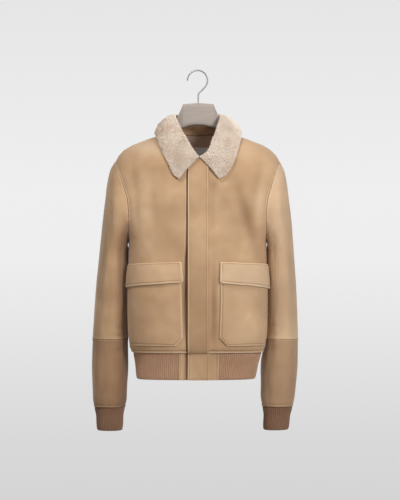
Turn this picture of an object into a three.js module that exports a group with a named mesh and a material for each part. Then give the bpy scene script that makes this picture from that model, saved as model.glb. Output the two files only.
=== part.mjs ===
// A suede blouson jacket with a shearling collar, hanging on a broad-shouldered hanger.
// Millimetres. +X is the viewer's right, +Y runs from the front to the back and +Z is up.
// The origin is the point inside the hook's curve where a rail carries the hanger.
// Left and right are the wearer's, so the right side lies at negative X.
import * as THREE from 'three';

// Driving sizes of the cloth
const suede = 2.5;          // suede with its backing
const knit = 2.6;           // plain thickness of the ribbed knit, between its ribs
const shearling = 6.5;      // collar leaf with its short pile
const seam = 0.3;           // space between two pieces that are sewn together
const lay = 0.4;            // space between a panel and what lies on it

// Heights of the seams, and the places along the front, all measured from the rail
const armpitZ = -425;
const shoulderTipZ = -228;
const hemSeamZ = -702;
const hemEndZ = -769;
const cuffSeamZ = -840;
const neckHalfWidth = 72;
const neckFrontZ = -232;
const neckBackZ = -158;
const flyEdgeX = -23.5;     // folded front edge, left over right
const flyStitchX = 25;
const flyFoldX = flyEdgeX + 5;
const rightFrontEdgeX = 7;  // cut edge of the right front, under the fly
const tabSeamX = { right: -45, left: 53.5 };
const fly = 3;              // thickness of the fly strip

// Half width and depth of the torso before and behind the side seams, from the hem up.
// Above the armpit the half width runs on past the armhole, which is cut out of this form.
const squareness = 2.6;
const shoulderRound = 92;   // height over which the fronts turn in to the shoulder line
const torsoRows = [
  { z: -702, halfWidth: 162, front: 90, back: 70 },
  { z: -694, halfWidth: 166.5, front: 95, back: 75 },
  { z: -679, halfWidth: 170, front: 99, back: 79 },
  { z: -640, halfWidth: 173, front: 103, back: 82 },
  { z: -540, halfWidth: 174, front: 106, back: 85 },
  { z: -425, halfWidth: 172, front: 108, back: 87 },
  { z: -411, halfWidth: 175, front: 108, back: 87 },
  { z: -394, halfWidth: 181, front: 107.6, back: 86.6 },
  { z: -370, halfWidth: 190, front: 107, back: 86 },
  { z: -340, halfWidth: 199.5, front: 106.3, back: 85.2 },
  { z: -300, halfWidth: 210, front: 105, back: 83.5 },
  { z: -260, halfWidth: 219.5, front: 102.5, back: 80.5 },
  { z: -228, halfWidth: 226, front: 100, back: 78 },
  { z: -120, halfWidth: 235, front: 94, back: 74 },
];
const armholeRows = [
  { z: -425, x: 172 },
  { z: -400, x: 170.6 },
  { z: -367, x: 169.8 },
  { z: -330, x: 172 },
  { z: -290, x: 182 },
  { z: -261, x: 192 },
  { z: -240, x: 201 },
  { z: -228, x: 206 },
];
const shoulderRows = [
  { x: 0, z: -128 },
  { x: 40, z: -139 },
  { x: 72, z: -150 },
  { x: 110, z: -165 },
  { x: 144, z: -177 },
  { x: 169, z: -188 },
  { x: 185, z: -198.5 },
  { x: 196, z: -210 },
  { x: 206, z: -228 },
  { x: 211, z: -240 },
];

// The largest soft folds of the body: their middle, how far they reach across and along, their lean and depth
const bodyFolds = [
  { side: -1, x: -158, z: -262, across: 13, along: 48, lean: 0.1, depth: 4 },
  { side: -1, x: -86, z: -372, across: 30, along: 95, lean: 0.05, depth: 3.5 },
  { side: -1, x: 152, z: -268, across: 14, along: 52, lean: -0.12, depth: 4 },
  { side: -1, x: 122, z: -362, across: 17, along: 82, lean: 0.3, depth: 6 },
  { side: -1, x: 62, z: -350, across: 16, along: 70, lean: -0.12, depth: 2.5 },
  { side: 1, x: -120, z: -380, across: 22, along: 100, lean: 0.22, depth: 5 },
  { side: 1, x: 118, z: -396, across: 20, along: 90, lean: -0.25, depth: 5.5 },
  { side: 1, x: 34, z: -560, across: 26, along: 110, lean: 0.05, depth: 3.5 },
  { side: 1, x: -62, z: -600, across: 24, along: 80, lean: -0.08, depth: 3 },
];

// Sections of each sleeve: its outer and inner line in the front view, half its depth and its middle's Y.
// own is how much of the armhole's shape a section keeps.
const sleeveRows = {
  right: [
    { outerX: 206, outerZ: -228, innerX: 172, innerZ: -425, halfDepth: 67, midY: -5, own: 1 },
    { outerX: 216.5, outerZ: -246, innerX: 173, innerZ: -427.5, halfDepth: 70, midY: -4, own: 0.5 },
    { outerX: 225.5, outerZ: -284, innerX: 173.6, innerZ: -431, halfDepth: 71, midY: -2, own: 0.2 },
    { outerX: 231.5, outerZ: -330, innerX: 174.3, innerZ: -435, halfDepth: 70, midY: 1, own: 0.06 },
    { outerX: 238, outerZ: -384, innerX: 175, innerZ: -441, halfDepth: 68, midY: 4, own: 0 },
    { outerX: 245, outerZ: -450, innerX: 176, innerZ: -450, halfDepth: 66, midY: 8, own: 0 },
    { outerX: 250, outerZ: -500, innerX: 176, innerZ: -500, halfDepth: 64, midY: 10, own: 0 },
    { outerX: 257, outerZ: -580, innerX: 176, innerZ: -580, halfDepth: 60, midY: 14, own: 0 },
    { outerX: 263, outerZ: -670, innerX: 175, innerZ: -670, halfDepth: 56, midY: 18, own: 0 },
    { outerX: 264, outerZ: -750, innerX: 174, innerZ: -750, halfDepth: 54, midY: 20, own: 0 },
    { outerX: 261.5, outerZ: -812, innerX: 176, innerZ: -812, halfDepth: 51, midY: 20, own: 0 },
    { outerX: 257, outerZ: -840, innerX: 182, innerZ: -840, halfDepth: 45, midY: 20, own: 0 },
  ],
  left: [
    { outerX: 206, outerZ: -228, innerX: 172, innerZ: -425, halfDepth: 67, midY: -5, own: 1 },
    { outerX: 216, outerZ: -250, innerX: 173, innerZ: -427.5, halfDepth: 70, midY: -4, own: 0.5 },
    { outerX: 224, outerZ: -290, innerX: 173.6, innerZ: -431, halfDepth: 71, midY: -2, own: 0.2 },
    { outerX: 230, outerZ: -334, innerX: 174.3, innerZ: -435, halfDepth: 70, midY: 2, own: 0.06 },
    { outerX: 236, outerZ: -386, innerX: 175, innerZ: -441, halfDepth: 68, midY: 6, own: 0 },
    { outerX: 241, outerZ: -450, innerX: 176, innerZ: -450, halfDepth: 66, midY: 11, own: 0 },
    { outerX: 244.5, outerZ: -500, innerX: 176.5, innerZ: -500, halfDepth: 64, midY: 16, own: 0 },
    { outerX: 249.5, outerZ: -580, innerX: 175.5, innerZ: -580, halfDepth: 60, midY: 28, own: 0 },
    { outerX: 253, outerZ: -670, innerX: 171.5, innerZ: -670, halfDepth: 57, midY: 43, own: 0 },
    { outerX: 251.5, outerZ: -730, innerX: 160, innerZ: -730, halfDepth: 55, midY: 48, own: 0 },
    { outerX: 246, outerZ: -805, innerX: 158, innerZ: -805, halfDepth: 51, midY: 48, own: 0 },
    { outerX: 240, outerZ: -840, innerX: 165, innerZ: -840, halfDepth: 45, midY: 47, own: 0 },
  ],
};
const elbowRow = 8;         // the section of the table that lies on the elbow seam
const underSleeve = 45;     // degrees from the inner line to each seam of the under sleeve

// Ribbed cuffs and hem band
const ribHeight = 1.2;
const ribPitch = 5;
const cuffGirth = 235;
const hemGirth = 680;       // of the knit, from tab to tab round the back
const cuffRows = {
  right: [
    { z: -840, outerX: 255.5, innerX: 183.5, halfDepth: 43.5, midY: 20 },
    { z: -862, outerX: 254, innerX: 186, halfDepth: 40.5, midY: 20 },
    { z: -899, outerX: 252.5, innerX: 187.5, halfDepth: 38.5, midY: 20 },
  ],
  left: [
    { z: -840, outerX: 238.5, innerX: 166.5, halfDepth: 43.5, midY: 47 },
    { z: -862, outerX: 234.5, innerX: 166.5, halfDepth: 40.5, midY: 46 },
    { z: -899, outerX: 229.5, innerX: 164.5, halfDepth: 38.5, midY: 44 },
  ],
};
const hemRows = [
  { z: -702, halfWidth: 161, front: 88.5, back: 68.5 },
  { z: -728, halfWidth: 154.5, front: 84, back: 64 },
  { z: -769, halfWidth: 148.5, front: 80, back: 60 },
];

// Patch pockets and their flaps. The outer edge wraps round the side, so it is an angle of the section.
const pocketInnerX = { right: 38, left: 56 };
const pocketFlare = { right: 5, left: 4 };   // how far its inner edge runs towards the fly on its way down
const pocketOuterShare = 0.87;   // share of the way round to the side seam
const pocketChamfer = 20;
const pocketCloth = 3;
const pocketSwell = 3.4;
const pocketRowsZ = [-486, -490, -520, -550, -605, -645, -655, -663, -669, -676, -683];
const pocketTopZ = pocketRowsZ[0];
const pocketEndZ = pocketRowsZ[pocketRowsZ.length - 1];
const flapOuterShare = { right: 0.86, left: 0.9 };
// From the flap's seam (0) down to its free edge (1): the height of its underside above the front
const flapRows = [
  { down: 0, under: 0.6 },
  { down: 0.06, under: 4.1 },
  { down: 0.3, under: 5 },
  { down: 0.6, under: 6 },
  { down: 0.93, under: 7.3 },
  { down: 1, under: 7.5 },
];
const flapInnerX = { right: 37, left: 55.5 };
const flapFlare = { right: 6, left: 0 };
const flapTopZ = { right: { inner: -476, outer: -482 }, left: { inner: -476, outer: -482 } };
const flapEndZ = { right: { inner: -527, outer: -540 }, left: { inner: -529, outer: -544 } };

// The label inside the back, and how far it stands off the cloth behind it
const label = { halfWidth: 38, rowsZ: [-226, -197, -187], behind: 2, thick: 0.8 };

// The collar's fold line, from the middle of the back (0) to the front end (1), with the rise of its leaf.
// Its ends meet a little to the left of the jacket's middle.
const collarFoldRows = [
  { at: 0, rightX: 0, leftX: 0, y: 64, z: -111, rise: 10 },
  { at: 0.22, rightX: 31, leftX: 31, y: 55, z: -109, rise: 10 },
  { at: 0.42, rightX: 51, leftX: 51, y: 30, z: -106.5, rise: 10 },
  { at: 0.51, rightX: 55, leftX: 55, y: 16, z: -106.5, rise: 10 },
  { at: 0.6, rightX: 57, leftX: 57.5, y: 2, z: -107, rise: 10 },
  { at: 0.72, rightX: 54.5, leftX: 56.5, y: -24, z: -115, rise: 9.5 },
  { at: 0.82, rightX: 44, leftX: 49, y: -54, z: -138, rise: 8 },
  { at: 0.91, rightX: 25, leftX: 37, y: -84, z: -175, rise: 6 },
  { at: 0.965, rightX: 9.5, leftX: 26, y: -99, z: -202, rise: 4 },
  { at: 1, rightX: -3.5, leftX: 6, y: -108, z: -218, rise: 3 },
];
// The leaf's outer edge, by its X on either hand and its height on the jacket below it.
// neck is the angle, from the middle of the back, at which the stand's foot lies on the neckline.
const collarEdgeRows = [
  { at: 0, rightX: 0, leftX: 0, z: -186, neck: 0 },
  { at: 0.22, rightX: 52, leftX: 52, z: -186, neck: 32 },
  { at: 0.42, rightX: 90, leftX: 90, z: -181, neck: 62 },
  { at: 0.51, rightX: 101, leftX: 103, z: -170.5, neck: 76 },
  { at: 0.6, rightX: 105, leftX: 109, z: -163.6, neck: 90 },
  { at: 0.72, rightX: 98, leftX: 106, z: -178, neck: 110 },
  { at: 0.82, rightX: 89, leftX: 99.5, z: -200, neck: 130 },
  { at: 0.91, rightX: 71.5, leftX: 87, z: -234.5, neck: 152 },
  { at: 0.965, rightX: 55.5, leftX: 67, z: -264.5, neck: 166 },
  { at: 1, rightX: 44.5, leftX: 53, z: -271, neck: 176 },
];
const collarRidgeAt = 0.6;  // where the outer edge crosses the shoulder line
const leafLiesFrom = 0.7;   // from here to the front end the leaf lies on the fronts

const standClear = 0.9;     // space between the stand and the panels inside which it is sewn
const leafClear = 2.2;      // space between the leaf's front end and the fronts
const leafOverFly = { from: 35, to: 55 };  // half widths between which the leaf comes off the fly strip

// The hanger from the hook outwards: its upper and lower line, and its depth before and behind its middle
const hangerRows = [
  { x: 0, top: -80.5, foot: -134, front: 15, back: 13 },
  { x: 38, top: -83, foot: -142, front: 15, back: 13 },
  { x: 41, top: -91, foot: -143, front: 14, back: 12.5 },
  { x: 46, top: -102, foot: -146, front: 12, back: 11.5 },
  { x: 51, top: -112, foot: -151, front: 10, back: 11 },
  { x: 57, top: -131, foot: -158, front: 10, back: 11 },
  { x: 63, top: -152.5, foot: -166, front: 12, back: 12 },
  { x: 74, top: -159, foot: -178, front: 15, back: 14 },
  { x: 110, top: -170, foot: -200, front: 20, back: 18 },
  { x: 144, top: -181, foot: -216, front: 24, back: 20 },
  { x: 169, top: -192.5, foot: -226, front: 25, back: 20 },
  { x: 185, top: -204, foot: -231, front: 22, back: 17 },
  { x: 193, top: -214, foot: -230, front: 14, back: 11 },
];
const blockShift = { by: 2, full: 63, none: 110 };  // the block lies off the middle, and the arms do not
const hookRadius = 25;      // to the middle of the wire
const wire = 3.6;
const hookTurnFrom = 183;   // degrees, the free tip at the left
const hookTurnTo = -38;     // degrees, where the curve runs into the straight stretch
const hookStemX = 2;
const hookBendZ = -54;

const finishes = {
  suede: { color: 0xbd9a79, roughness: 0.95, metalness: 0 },
  knit: { color: 0x9f7c63, roughness: 0.95, metalness: 0 },
  shearling: { color: 0xe0d0bb, roughness: 1, metalness: 0 },
  label: { color: 0x8d8580, roughness: 0.5, metalness: 0 },
  hanger: { color: 0xafa297, roughness: 0.75, metalness: 0 },
  hook: { color: 0x8c8984, roughness: 0.28, metalness: 1 },
};

const hands = { right: -1, left: 1 };
const radians = THREE.MathUtils.degToRad;
const mix = THREE.MathUtils.lerp;
const clamp = THREE.MathUtils.clamp;
const jacket = new THREE.Group();

function point(x, y, z) {
  return new THREE.Vector3(x, y, z);
}

// A smooth curve without overshoot through one named column of a table, along its key column
function curve(table, key, name) {
  const rows = [...table].sort((a, b) => a[key] - b[key]);
  const at = rows.map((row) => row[key]);
  const value = rows.map((row) => row[name]);
  const steepness = at.slice(1).map((x, i) => (value[i + 1] - value[i]) / (x - at[i]));
  const slope = value.map((_, i) => {
    const before = steepness[Math.max(i - 1, 0)];
    const after = steepness[Math.min(i, steepness.length - 1)];
    return before * after > 0 ? (2 * before * after) / (before + after) : 0;
  });
  return (x) => {
    const inside = clamp(x, at[0], at[at.length - 1]);
    const i = Math.max(at.findIndex((end, n) => n > 0 && inside <= end) - 1, 0);
    const run = at[i + 1] - at[i];
    const t = (inside - at[i]) / run;
    const rest = 1 - t;
    return value[i] * rest * rest * (1 + 2 * t) + value[i + 1] * t * t * (1 + 2 * rest)
      + run * t * rest * (slope[i] * rest - slope[i + 1] * t);
  };
}

const torsoWidth = curve(torsoRows, 'z', 'halfWidth');
const torsoDepth = { '-1': curve(torsoRows, 'z', 'front'), 1: curve(torsoRows, 'z', 'back') };
const hemWidth = curve(hemRows, 'z', 'halfWidth');
const hemDepth = { '-1': curve(hemRows, 'z', 'front'), 1: curve(hemRows, 'z', 'back') };
const armholeX = curve(armholeRows, 'z', 'x');
const shoulderZ = curve(shoulderRows, 'x', 'z');

function signedPower(value, power) {
  return Math.sign(value) * Math.abs(value) ** power;
}

function foldDepth(side, x, z) {
  return bodyFolds.filter((fold) => fold.side === side).reduce((sum, fold) => {
    const along = (z - fold.z) / fold.along;
    const across = (x - fold.x - fold.lean * (fold.z - z)) / fold.across;
    return sum + fold.depth * Math.exp(-along * along - across * across);
  }, 0);
}

// Y of the torso's outside, before (-1) or behind (1) the side seams
function torsoY(side, x, z) {
  const reach = Math.min(Math.abs(x) / torsoWidth(z), 1);
  const level = (1 - reach ** squareness) ** (1 / squareness);
  const below = clamp((shoulderZ(Math.abs(x)) - z) / shoulderRound, 0, 1);
  const turn = Math.sqrt(1 - (1 - below) ** 2);
  return side * (torsoDepth[side](z) - foldDepth(side, x, z)) * level * turn;
}

function hemY(side, x, z) {
  const reach = Math.min(Math.abs(x) / hemWidth(z), 1);
  return side * hemDepth[side](z) * (1 - reach ** squareness) ** (1 / squareness);
}

function panelEdgeX(z) {
  return z <= armpitZ ? torsoWidth(z) : armholeX(z);
}

function panelTopZ(side, x) {
  const along = Math.abs(x) / neckHalfWidth;
  if (along >= 1) return shoulderZ(Math.abs(x));
  const middle = side < 0 ? neckFrontZ : neckBackZ;
  return mix(middle, shoulderZ(neckHalfWidth), along ** 2.2);
}

// A closed solid between an outer and an inner grid of points. The outer grid may have several columns to
// each inner one. closed joins the last column to the first.
function wall(outer, inner, closed = false) {
  const rows = outer.length;
  const outerColumns = outer[0].length;
  const innerColumns = inner[0].length;
  const outerSpans = closed ? outerColumns : outerColumns - 1;
  const innerSpans = closed ? innerColumns : innerColumns - 1;
  const perSpan = outerSpans / innerSpans;
  const firstInner = rows * outerColumns;
  const out = (i, j) => i * outerColumns + (j % outerColumns);
  const back = (i, j) => firstInner + i * innerColumns + (j % innerColumns);
  const faces = [];
  const quad = (a, b, c, d) => faces.push([a, b, c], [a, c, d]);
  for (let i = 0; i + 1 < rows; i += 1) {
    for (let j = 0; j < outerSpans; j += 1) {
      quad(out(i, j), out(i + 1, j), out(i + 1, j + 1), out(i, j + 1));
    }
    for (let j = 0; j < innerSpans; j += 1) {
      quad(back(i, j), back(i, j + 1), back(i + 1, j + 1), back(i + 1, j));
    }
  }
  const half = Math.floor(perSpan / 2);
  const stitch = (i, flip) => {
    const face = (a, b, c) => faces.push(flip ? [a, c, b] : [a, b, c]);
    for (let j = 0; j < innerSpans; j += 1) {
      for (let k = 0; k < perSpan; k += 1) {
        const n = j * perSpan + k;
        face(out(i, n), out(i, n + 1), back(i, k < half ? j : j + 1));
      }
      face(out(i, j * perSpan + half), back(i, j + 1), back(i, j));
    }
  };
  stitch(0, false);
  stitch(rows - 1, true);
  if (!closed) {
    for (let i = 0; i + 1 < rows; i += 1) {
      quad(out(i, 0), back(i, 0), back(i + 1, 0), out(i + 1, 0));
      quad(out(i, outerSpans), out(i + 1, outerSpans), back(i + 1, innerSpans), back(i, innerSpans));
    }
  }
  return solid([...outer.flat(), ...inner.flat()], faces);
}

// Points and triangles as a geometry, turned inside out if its faces point in
function solid(points, faces) {
  const volume = faces.reduce((sum, [a, b, c]) => {
    const cross = point(0, 0, 0).crossVectors(points[b], points[c]);
    return sum + points[a].dot(cross);
  }, 0);
  const index = faces.flatMap(([a, b, c]) => (volume > 0 ? [a, b, c] : [a, c, b]));
  const geometry = new THREE.BufferGeometry();
  geometry.setAttribute('position', new THREE.Float32BufferAttribute(points.flatMap((p) => p.toArray()), 3));
  geometry.setIndex(index);
  geometry.computeVertexNormals();
  return geometry;
}

function add(name, geometry, finish) {
  const mesh = new THREE.Mesh(geometry, new THREE.MeshStandardMaterial(finishes[finish]));
  mesh.name = name;
  jacket.add(mesh);
}

// Outward directions of a grid of points, from each point's neighbours. away tells which way is out.
function directions(grid, away) {
  const lastRow = grid.length - 1;
  return grid.map((row, i) => row.map((p, j) => {
    const across = row[Math.min(j + 1, row.length - 1)].clone().sub(row[Math.max(j - 1, 0)]);
    const up = grid[Math.min(i + 1, lastRow)][j].clone().sub(grid[Math.max(i - 1, 0)][j]);
    const out = across.cross(up).normalize();
    return out.dot(away(p)) < 0 ? out.negate() : out;
  }));
}

function movedOut(grid, ways, distance) {
  return grid.map((row, i) => row.map((p, j) => p.clone().addScaledVector(ways[i][j], distance)));
}

// The armhole, as a loop: 0 at the shoulder tip, 90 degrees in front, 180 under the arm
const armholeMiddle = point(
  (armholeX(shoulderTipZ) + armholeX(armpitZ)) / 2,
  0,
  (shoulderTipZ + armpitZ) / 2,
);

function armholePoint(angle) {
  const z = armholeMiddle.z + (shoulderTipZ - armholeMiddle.z) * Math.cos(angle);
  const side = Math.sin(angle) > 0 ? -1 : 1;
  const x = armholeX(z);
  return point(x, torsoY(side, x, z), z);
}

// Fronts and back. Rows run from the hem seam up to the neckline and shoulder seams, columns from the middle.
const lowerPanelZ = [hemSeamZ + seam / 2, -694, -680, -655, -605, -550, -490, -450];
const armholeSteps = 12;
const upperPanelShares = Array.from(
  { length: armholeSteps + 1 },
  (_, k) => (1 - Math.cos((Math.PI * k) / armholeSteps)) / 2,
);

function panelPoint(side, hand, innerX, reach, z) {
  const x = mix(innerX, panelEdgeX(z), reach);
  return point(hand * x, torsoY(side, hand * x, z) + side * seam / 2, z);
}

function panelColumnTop(side, innerX, reach) {
  let low = armpitZ;
  let high = -100;
  for (let n = 0; n < 40; n += 1) {
    const z = (low + high) / 2;
    if (panelTopZ(side, mix(innerX, panelEdgeX(z), reach)) > z) low = z;
    else high = z;
  }
  return low;
}

function panelColumn(side, hand, innerX, reach) {
  const topZ = reach === 1 ? shoulderTipZ : panelColumnTop(side, innerX, reach);
  return [
    ...lowerPanelZ.map((z) => panelPoint(side, hand, innerX, reach, z)),
    ...upperPanelShares.map((share) => panelPoint(side, hand, innerX, reach, mix(armpitZ, topZ, share))),
  ];
}

function bodyPanel(name, side, columns) {
  const rowCount = lowerPanelZ.length + upperPanelShares.length;
  const grid = Array.from({ length: rowCount }, (_, i) => columns.map((column) => column.points[i]));
  const ways = directions(grid, (p) => point(p.x * 0.3, side * 60, 20));
  columns.forEach((column, j) => {
    ways.forEach((row, i) => {
      const way = row[j];
      const atSeam = column.reach === 1;
      if (atSeam || (i === rowCount - 1 && Math.abs(grid[i][j].x) >= neckHalfWidth)) way.y = 0;
      if (i === 0) way.z = 0;
      if (atSeam && i >= lowerPanelZ.length) {
        const middle = armholeMiddle.clone();
        middle.x *= column.hand;
        way.subVectors(grid[i][j], middle);
      }
      way.normalize();
    });
  });
  add(name, wall(grid, movedOut(grid, ways, -suede)), 'suede');
}

// Share of the half width, by the share of the way round from the middle to the side seam
function reachAt(share) {
  return Math.sin((Math.PI / 2) * share) ** (2 / squareness);
}

const panelShares = [0, 0.03, 0.06, 0.1, 0.15, 0.2, 0.3, 0.4, 0.5, 0.6, 0.7, 0.8, 0.9, 1];

function front(name, hand, innerX) {
  const columns = panelShares.map(reachAt).map((reach) => (
    { reach, hand, points: panelColumn(-1, hand, innerX, reach) }
  ));
  bodyPanel(name, -1, columns);
}

function backPanel() {
  const shares = panelShares.filter((share) => share === 0 || share >= 0.1);
  const half = (hand) => shares.map(reachAt).map((reach) => (
    { reach, hand, points: panelColumn(1, hand, 0, reach) }
  ));
  bodyPanel('back', 1, [...half(-1).reverse(), ...half(1).slice(1)]);
}

// A point on the torso or hem and the way out of it
function onSurface(surface, side, x, z) {
  const { width, y } = surface;
  const place = (a, height) => {
    const placeX = width(height) * signedPower(Math.sin(a), 2 / squareness);
    return point(placeX, y(side, placeX, height), height);
  };
  const angle = angleAt(surface, x, z);
  const small = 0.01;
  const across = place(angle + small, z).sub(place(angle - small, z));
  const up = place(angle, z + 1).sub(place(angle, z - 1));
  const out = across.cross(up).normalize();
  return { at: place(angle, z), out: out.y * side < 0 ? out.negate() : out };
}

const torso = { width: torsoWidth, y: torsoY };
const hem = { width: hemWidth, y: hemY };

function angleAt(surface, x, z) {
  return Math.asin(signedPower(clamp(x / surface.width(z), -1, 1), squareness / 2));
}

// A piece that lies on the torso or hem, by places that each have the height of its outside and its underside
function laidOn(name, surface, side, places, finish) {
  const lifted = (key) => places.map((row) => row.map((place) => {
    const { at, out } = onSurface(surface, side, place.x, place.z);
    return at.addScaledVector(out, place[key]);
  }));
  add(name, wall(lifted('outside'), lifted('underside')), finish);
}

function flyStrip() {
  const across = [flyEdgeX, flyFoldX, 0, flyStitchX - 4, flyStitchX];
  const place = (x, z) => ({ x, z, outside: lay + fly + seam / 2, underside: lay + seam / 2 });
  const lower = lowerPanelZ.map((z, i) => across.map((x) => place(x, i ? z : hemSeamZ + 2)));
  const upper = upperPanelShares.map((share) => across.map((x) => (
    place(x, mix(armpitZ, panelTopZ(-1, x) - lay, share))
  )));
  laidOn('fly_strip', torso, -1, [...lower, ...upper], 'suede');
}

function hemTabs() {
  const rows = [hemSeamZ - seam / 2, (hemSeamZ + hemEndZ) / 2, hemEndZ];
  const tab = (name, table) => {
    const places = rows.map((z) => table.map((row) => ({ z, ...row })));
    laidOn(name, hem, -1, places, 'suede');
  };
  tab('hem_tab_right', [
    { x: tabSeamX.right + seam / 2, outside: 0, underside: -suede },
    { x: -25, outside: 0, underside: -suede },
    { x: rightFrontEdgeX, outside: 0, underside: -suede },
  ]);
  tab('hem_tab_left', [
    { x: flyEdgeX, outside: lay + fly, underside: lay },
    { x: flyFoldX, outside: lay + fly, underside: lay },
    { x: rightFrontEdgeX, outside: lay + fly, underside: lay },
    { x: rightFrontEdgeX + 2, outside: lay + fly, underside: -suede },
    { x: flyStitchX, outside: lay + fly, underside: -suede },
    { x: flyStitchX + 3, outside: 0, underside: -suede },
    { x: tabSeamX.left - seam / 2, outside: 0, underside: -suede },
  ]);
}

// Places across a piece on a front: its own edges with the columns of the panel that lie between them
function columnsBetween(frontX, innerX, outerShare) {
  const span = torsoWidth(pocketTopZ) - frontX;
  const inner = Math.asin(((innerX - frontX) / span) ** (squareness / 2)) / (Math.PI / 2);
  const between = panelShares.filter((share) => share > inner + 0.04 && share < outerShare - 0.02);
  return [inner, inner + 0.02, ...between, outerShare].map((share) => ({
    u: (share - inner) / (outerShare - inner),
    reach: reachAt(share),
  }));
}

function pocket(handName, frontX) {
  const across = columnsBetween(frontX, pocketInnerX[handName], pocketOuterShare);
  const places = pocketRowsZ.map((z) => across.map(({ u, reach }) => {
    const v = (z - pocketTopZ) / (pocketEndZ - pocketTopZ);
    const cut = Math.max(0, pocketEndZ + pocketChamfer - z);
    const inwards = pocketFlare[handName] * (0.5 - v) + cut;
    const x = mix(frontX, torsoWidth(z), reach) + inwards * (1 - u) ** 3 - cut * 0.3 * u ** 3;
    const swell = pocketSwell * Math.sin(Math.PI * u) ** 0.6 * Math.sin(Math.PI * v) ** 0.6;
    return { x: hands[handName] * x, z, outside: lay + pocketCloth + swell, underside: lay + swell };
  }));
  laidOn(`pocket_${handName}`, torso, -1, places, 'suede');
}

function flap(handName, frontX) {
  const across = columnsBetween(frontX, flapInnerX[handName], flapOuterShare[handName]);
  const [top, end] = [flapTopZ[handName], flapEndZ[handName]];
  const places = flapRows.map(({ down, under }) => across.map(({ u, reach }) => {
    const z = mix(mix(top.inner, top.outer, u), mix(end.inner, end.outer, u), down);
    const x = mix(frontX, torsoWidth(z), reach) + flapFlare[handName] * (0.5 - down) * (1 - u) ** 3;
    return { x: hands[handName] * x, z, outside: under + pocketCloth, underside: under };
  }));
  laidOn(`flap_${handName}`, torso, -1, places, 'suede');
}

function neckLabel() {
  const { halfWidth, rowsZ, behind, thick } = label;
  const places = rowsZ.map((z) => [-halfWidth, 0, halfWidth].map((x) => ({
    x,
    z,
    outside: -suede - behind,
    underside: -suede - behind - thick,
  })));
  laidOn('neck_label', torso, 1, places, 'label');
}

// One section of a sleeve as a function of the angle round it: 0 on the outer line, 90 degrees in front
function sleeveRing(row, hand, rise = 0) {
  const outer = point(row.outerX, row.midY, row.outerZ + rise);
  const inner = point(row.innerX, row.midY, row.innerZ + rise);
  const middle = outer.clone().add(inner).multiplyScalar(0.5);
  const reach = outer.clone().sub(middle);
  return (angle, depthIn) => {
    const at = middle.clone()
      .addScaledVector(reach, Math.cos(angle))
      .add(point(0, -row.halfDepth * Math.sin(angle), 0));
    if (row.own > 0) at.addScaledVector(sleeveStart(angle), row.own);
    const centre = row.own === 1 ? armholeMiddle : middle;
    const out = at.clone().sub(centre).normalize();
    at.addScaledVector(out, -depthIn);
    if (row.own === 1) at.x += seam + 0.1;
    at.x *= hand;
    return at;
  };
}

// How far the armhole departs from the plain section at the top of the sleeve
function sleeveStart(angle) {
  const row = sleeveRows.right[0];
  const middle = point((row.outerX + row.innerX) / 2, row.midY, (row.outerZ + row.innerZ) / 2);
  const plain = point(
    middle.x + (row.outerX - middle.x) * Math.cos(angle),
    middle.y - row.halfDepth * Math.sin(angle),
    middle.z + (row.outerZ - middle.z) * Math.cos(angle),
  );
  return armholePoint(angle).sub(plain);
}

function tubePiece(name, rings, fromDegrees, toDegrees) {
  const step = 180 / armholeSteps;
  const count = Math.round((toDegrees - fromDegrees) / step);
  const trim = 0.15;
  const angles = Array.from({ length: count + 1 }, (_, j) => {
    const slack = j === 0 ? trim : j === count ? -trim : 0;
    return radians(fromDegrees + j * step + slack);
  });
  const grid = (depthIn) => rings.map((ring) => angles.map((angle) => ring(angle, depthIn)));
  add(name, wall(grid(0), grid(suede)), 'suede');
}

function sleeve(handName) {
  const hand = hands[handName];
  const rows = sleeveRows[handName];
  const last = rows.length - 1;
  const upper = rows.slice(0, elbowRow + 1).map((row, i) => (
    sleeveRing(row, hand, i === elbowRow ? seam / 2 : 0)
  ));
  const lower = rows.slice(elbowRow).map((row, i) => {
    const rise = i === 0 ? -seam / 2 : i === last - elbowRow ? seam / 2 : 0;
    return sleeveRing(row, hand, rise);
  });
  const seamAt = 180 - underSleeve;
  tubePiece(`sleeve_top_${handName}`, upper, -seamAt, seamAt);
  tubePiece(`sleeve_under_${handName}`, upper, seamAt, 360 - seamAt);
  tubePiece(`forearm_top_${handName}`, lower, -seamAt, seamAt);
  tubePiece(`forearm_under_${handName}`, lower, seamAt, 360 - seamAt);
}

// A band of ribs: four points of its outside, high and low in turn, to each point of its plain inside
function ribs(places) {
  const movedIn = ({ at, out }, depth) => at.clone().addScaledVector(out, -depth);
  return places.map((row) => ({
    outer: row.map((place, j) => movedIn(place, j % 2 ? 0 : ribHeight)),
    inner: row.filter((_, j) => j % 4 === 0).map((place) => movedIn(place, ribHeight + knit)),
  }));
}

// Angles that divide one round of a section, or a stretch of it, into equal lengths
function evenAngles(place, from, to, count) {
  const fine = 720;
  const angles = Array.from({ length: fine + 1 }, (_, n) => mix(from, to, n / fine));
  const lengths = [0];
  angles.slice(1).forEach((angle, n) => lengths.push(lengths[n] + place(angle).distanceTo(place(angles[n]))));
  const total = lengths[fine];
  return Array.from({ length: count + 1 }, (_, j) => {
    const goal = (total * j) / count;
    const n = clamp(lengths.findIndex((length) => length >= goal), 1, fine);
    const share = (goal - lengths[n - 1]) / (lengths[n] - lengths[n - 1]);
    return mix(angles[n - 1], angles[n], share);
  });
}

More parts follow.
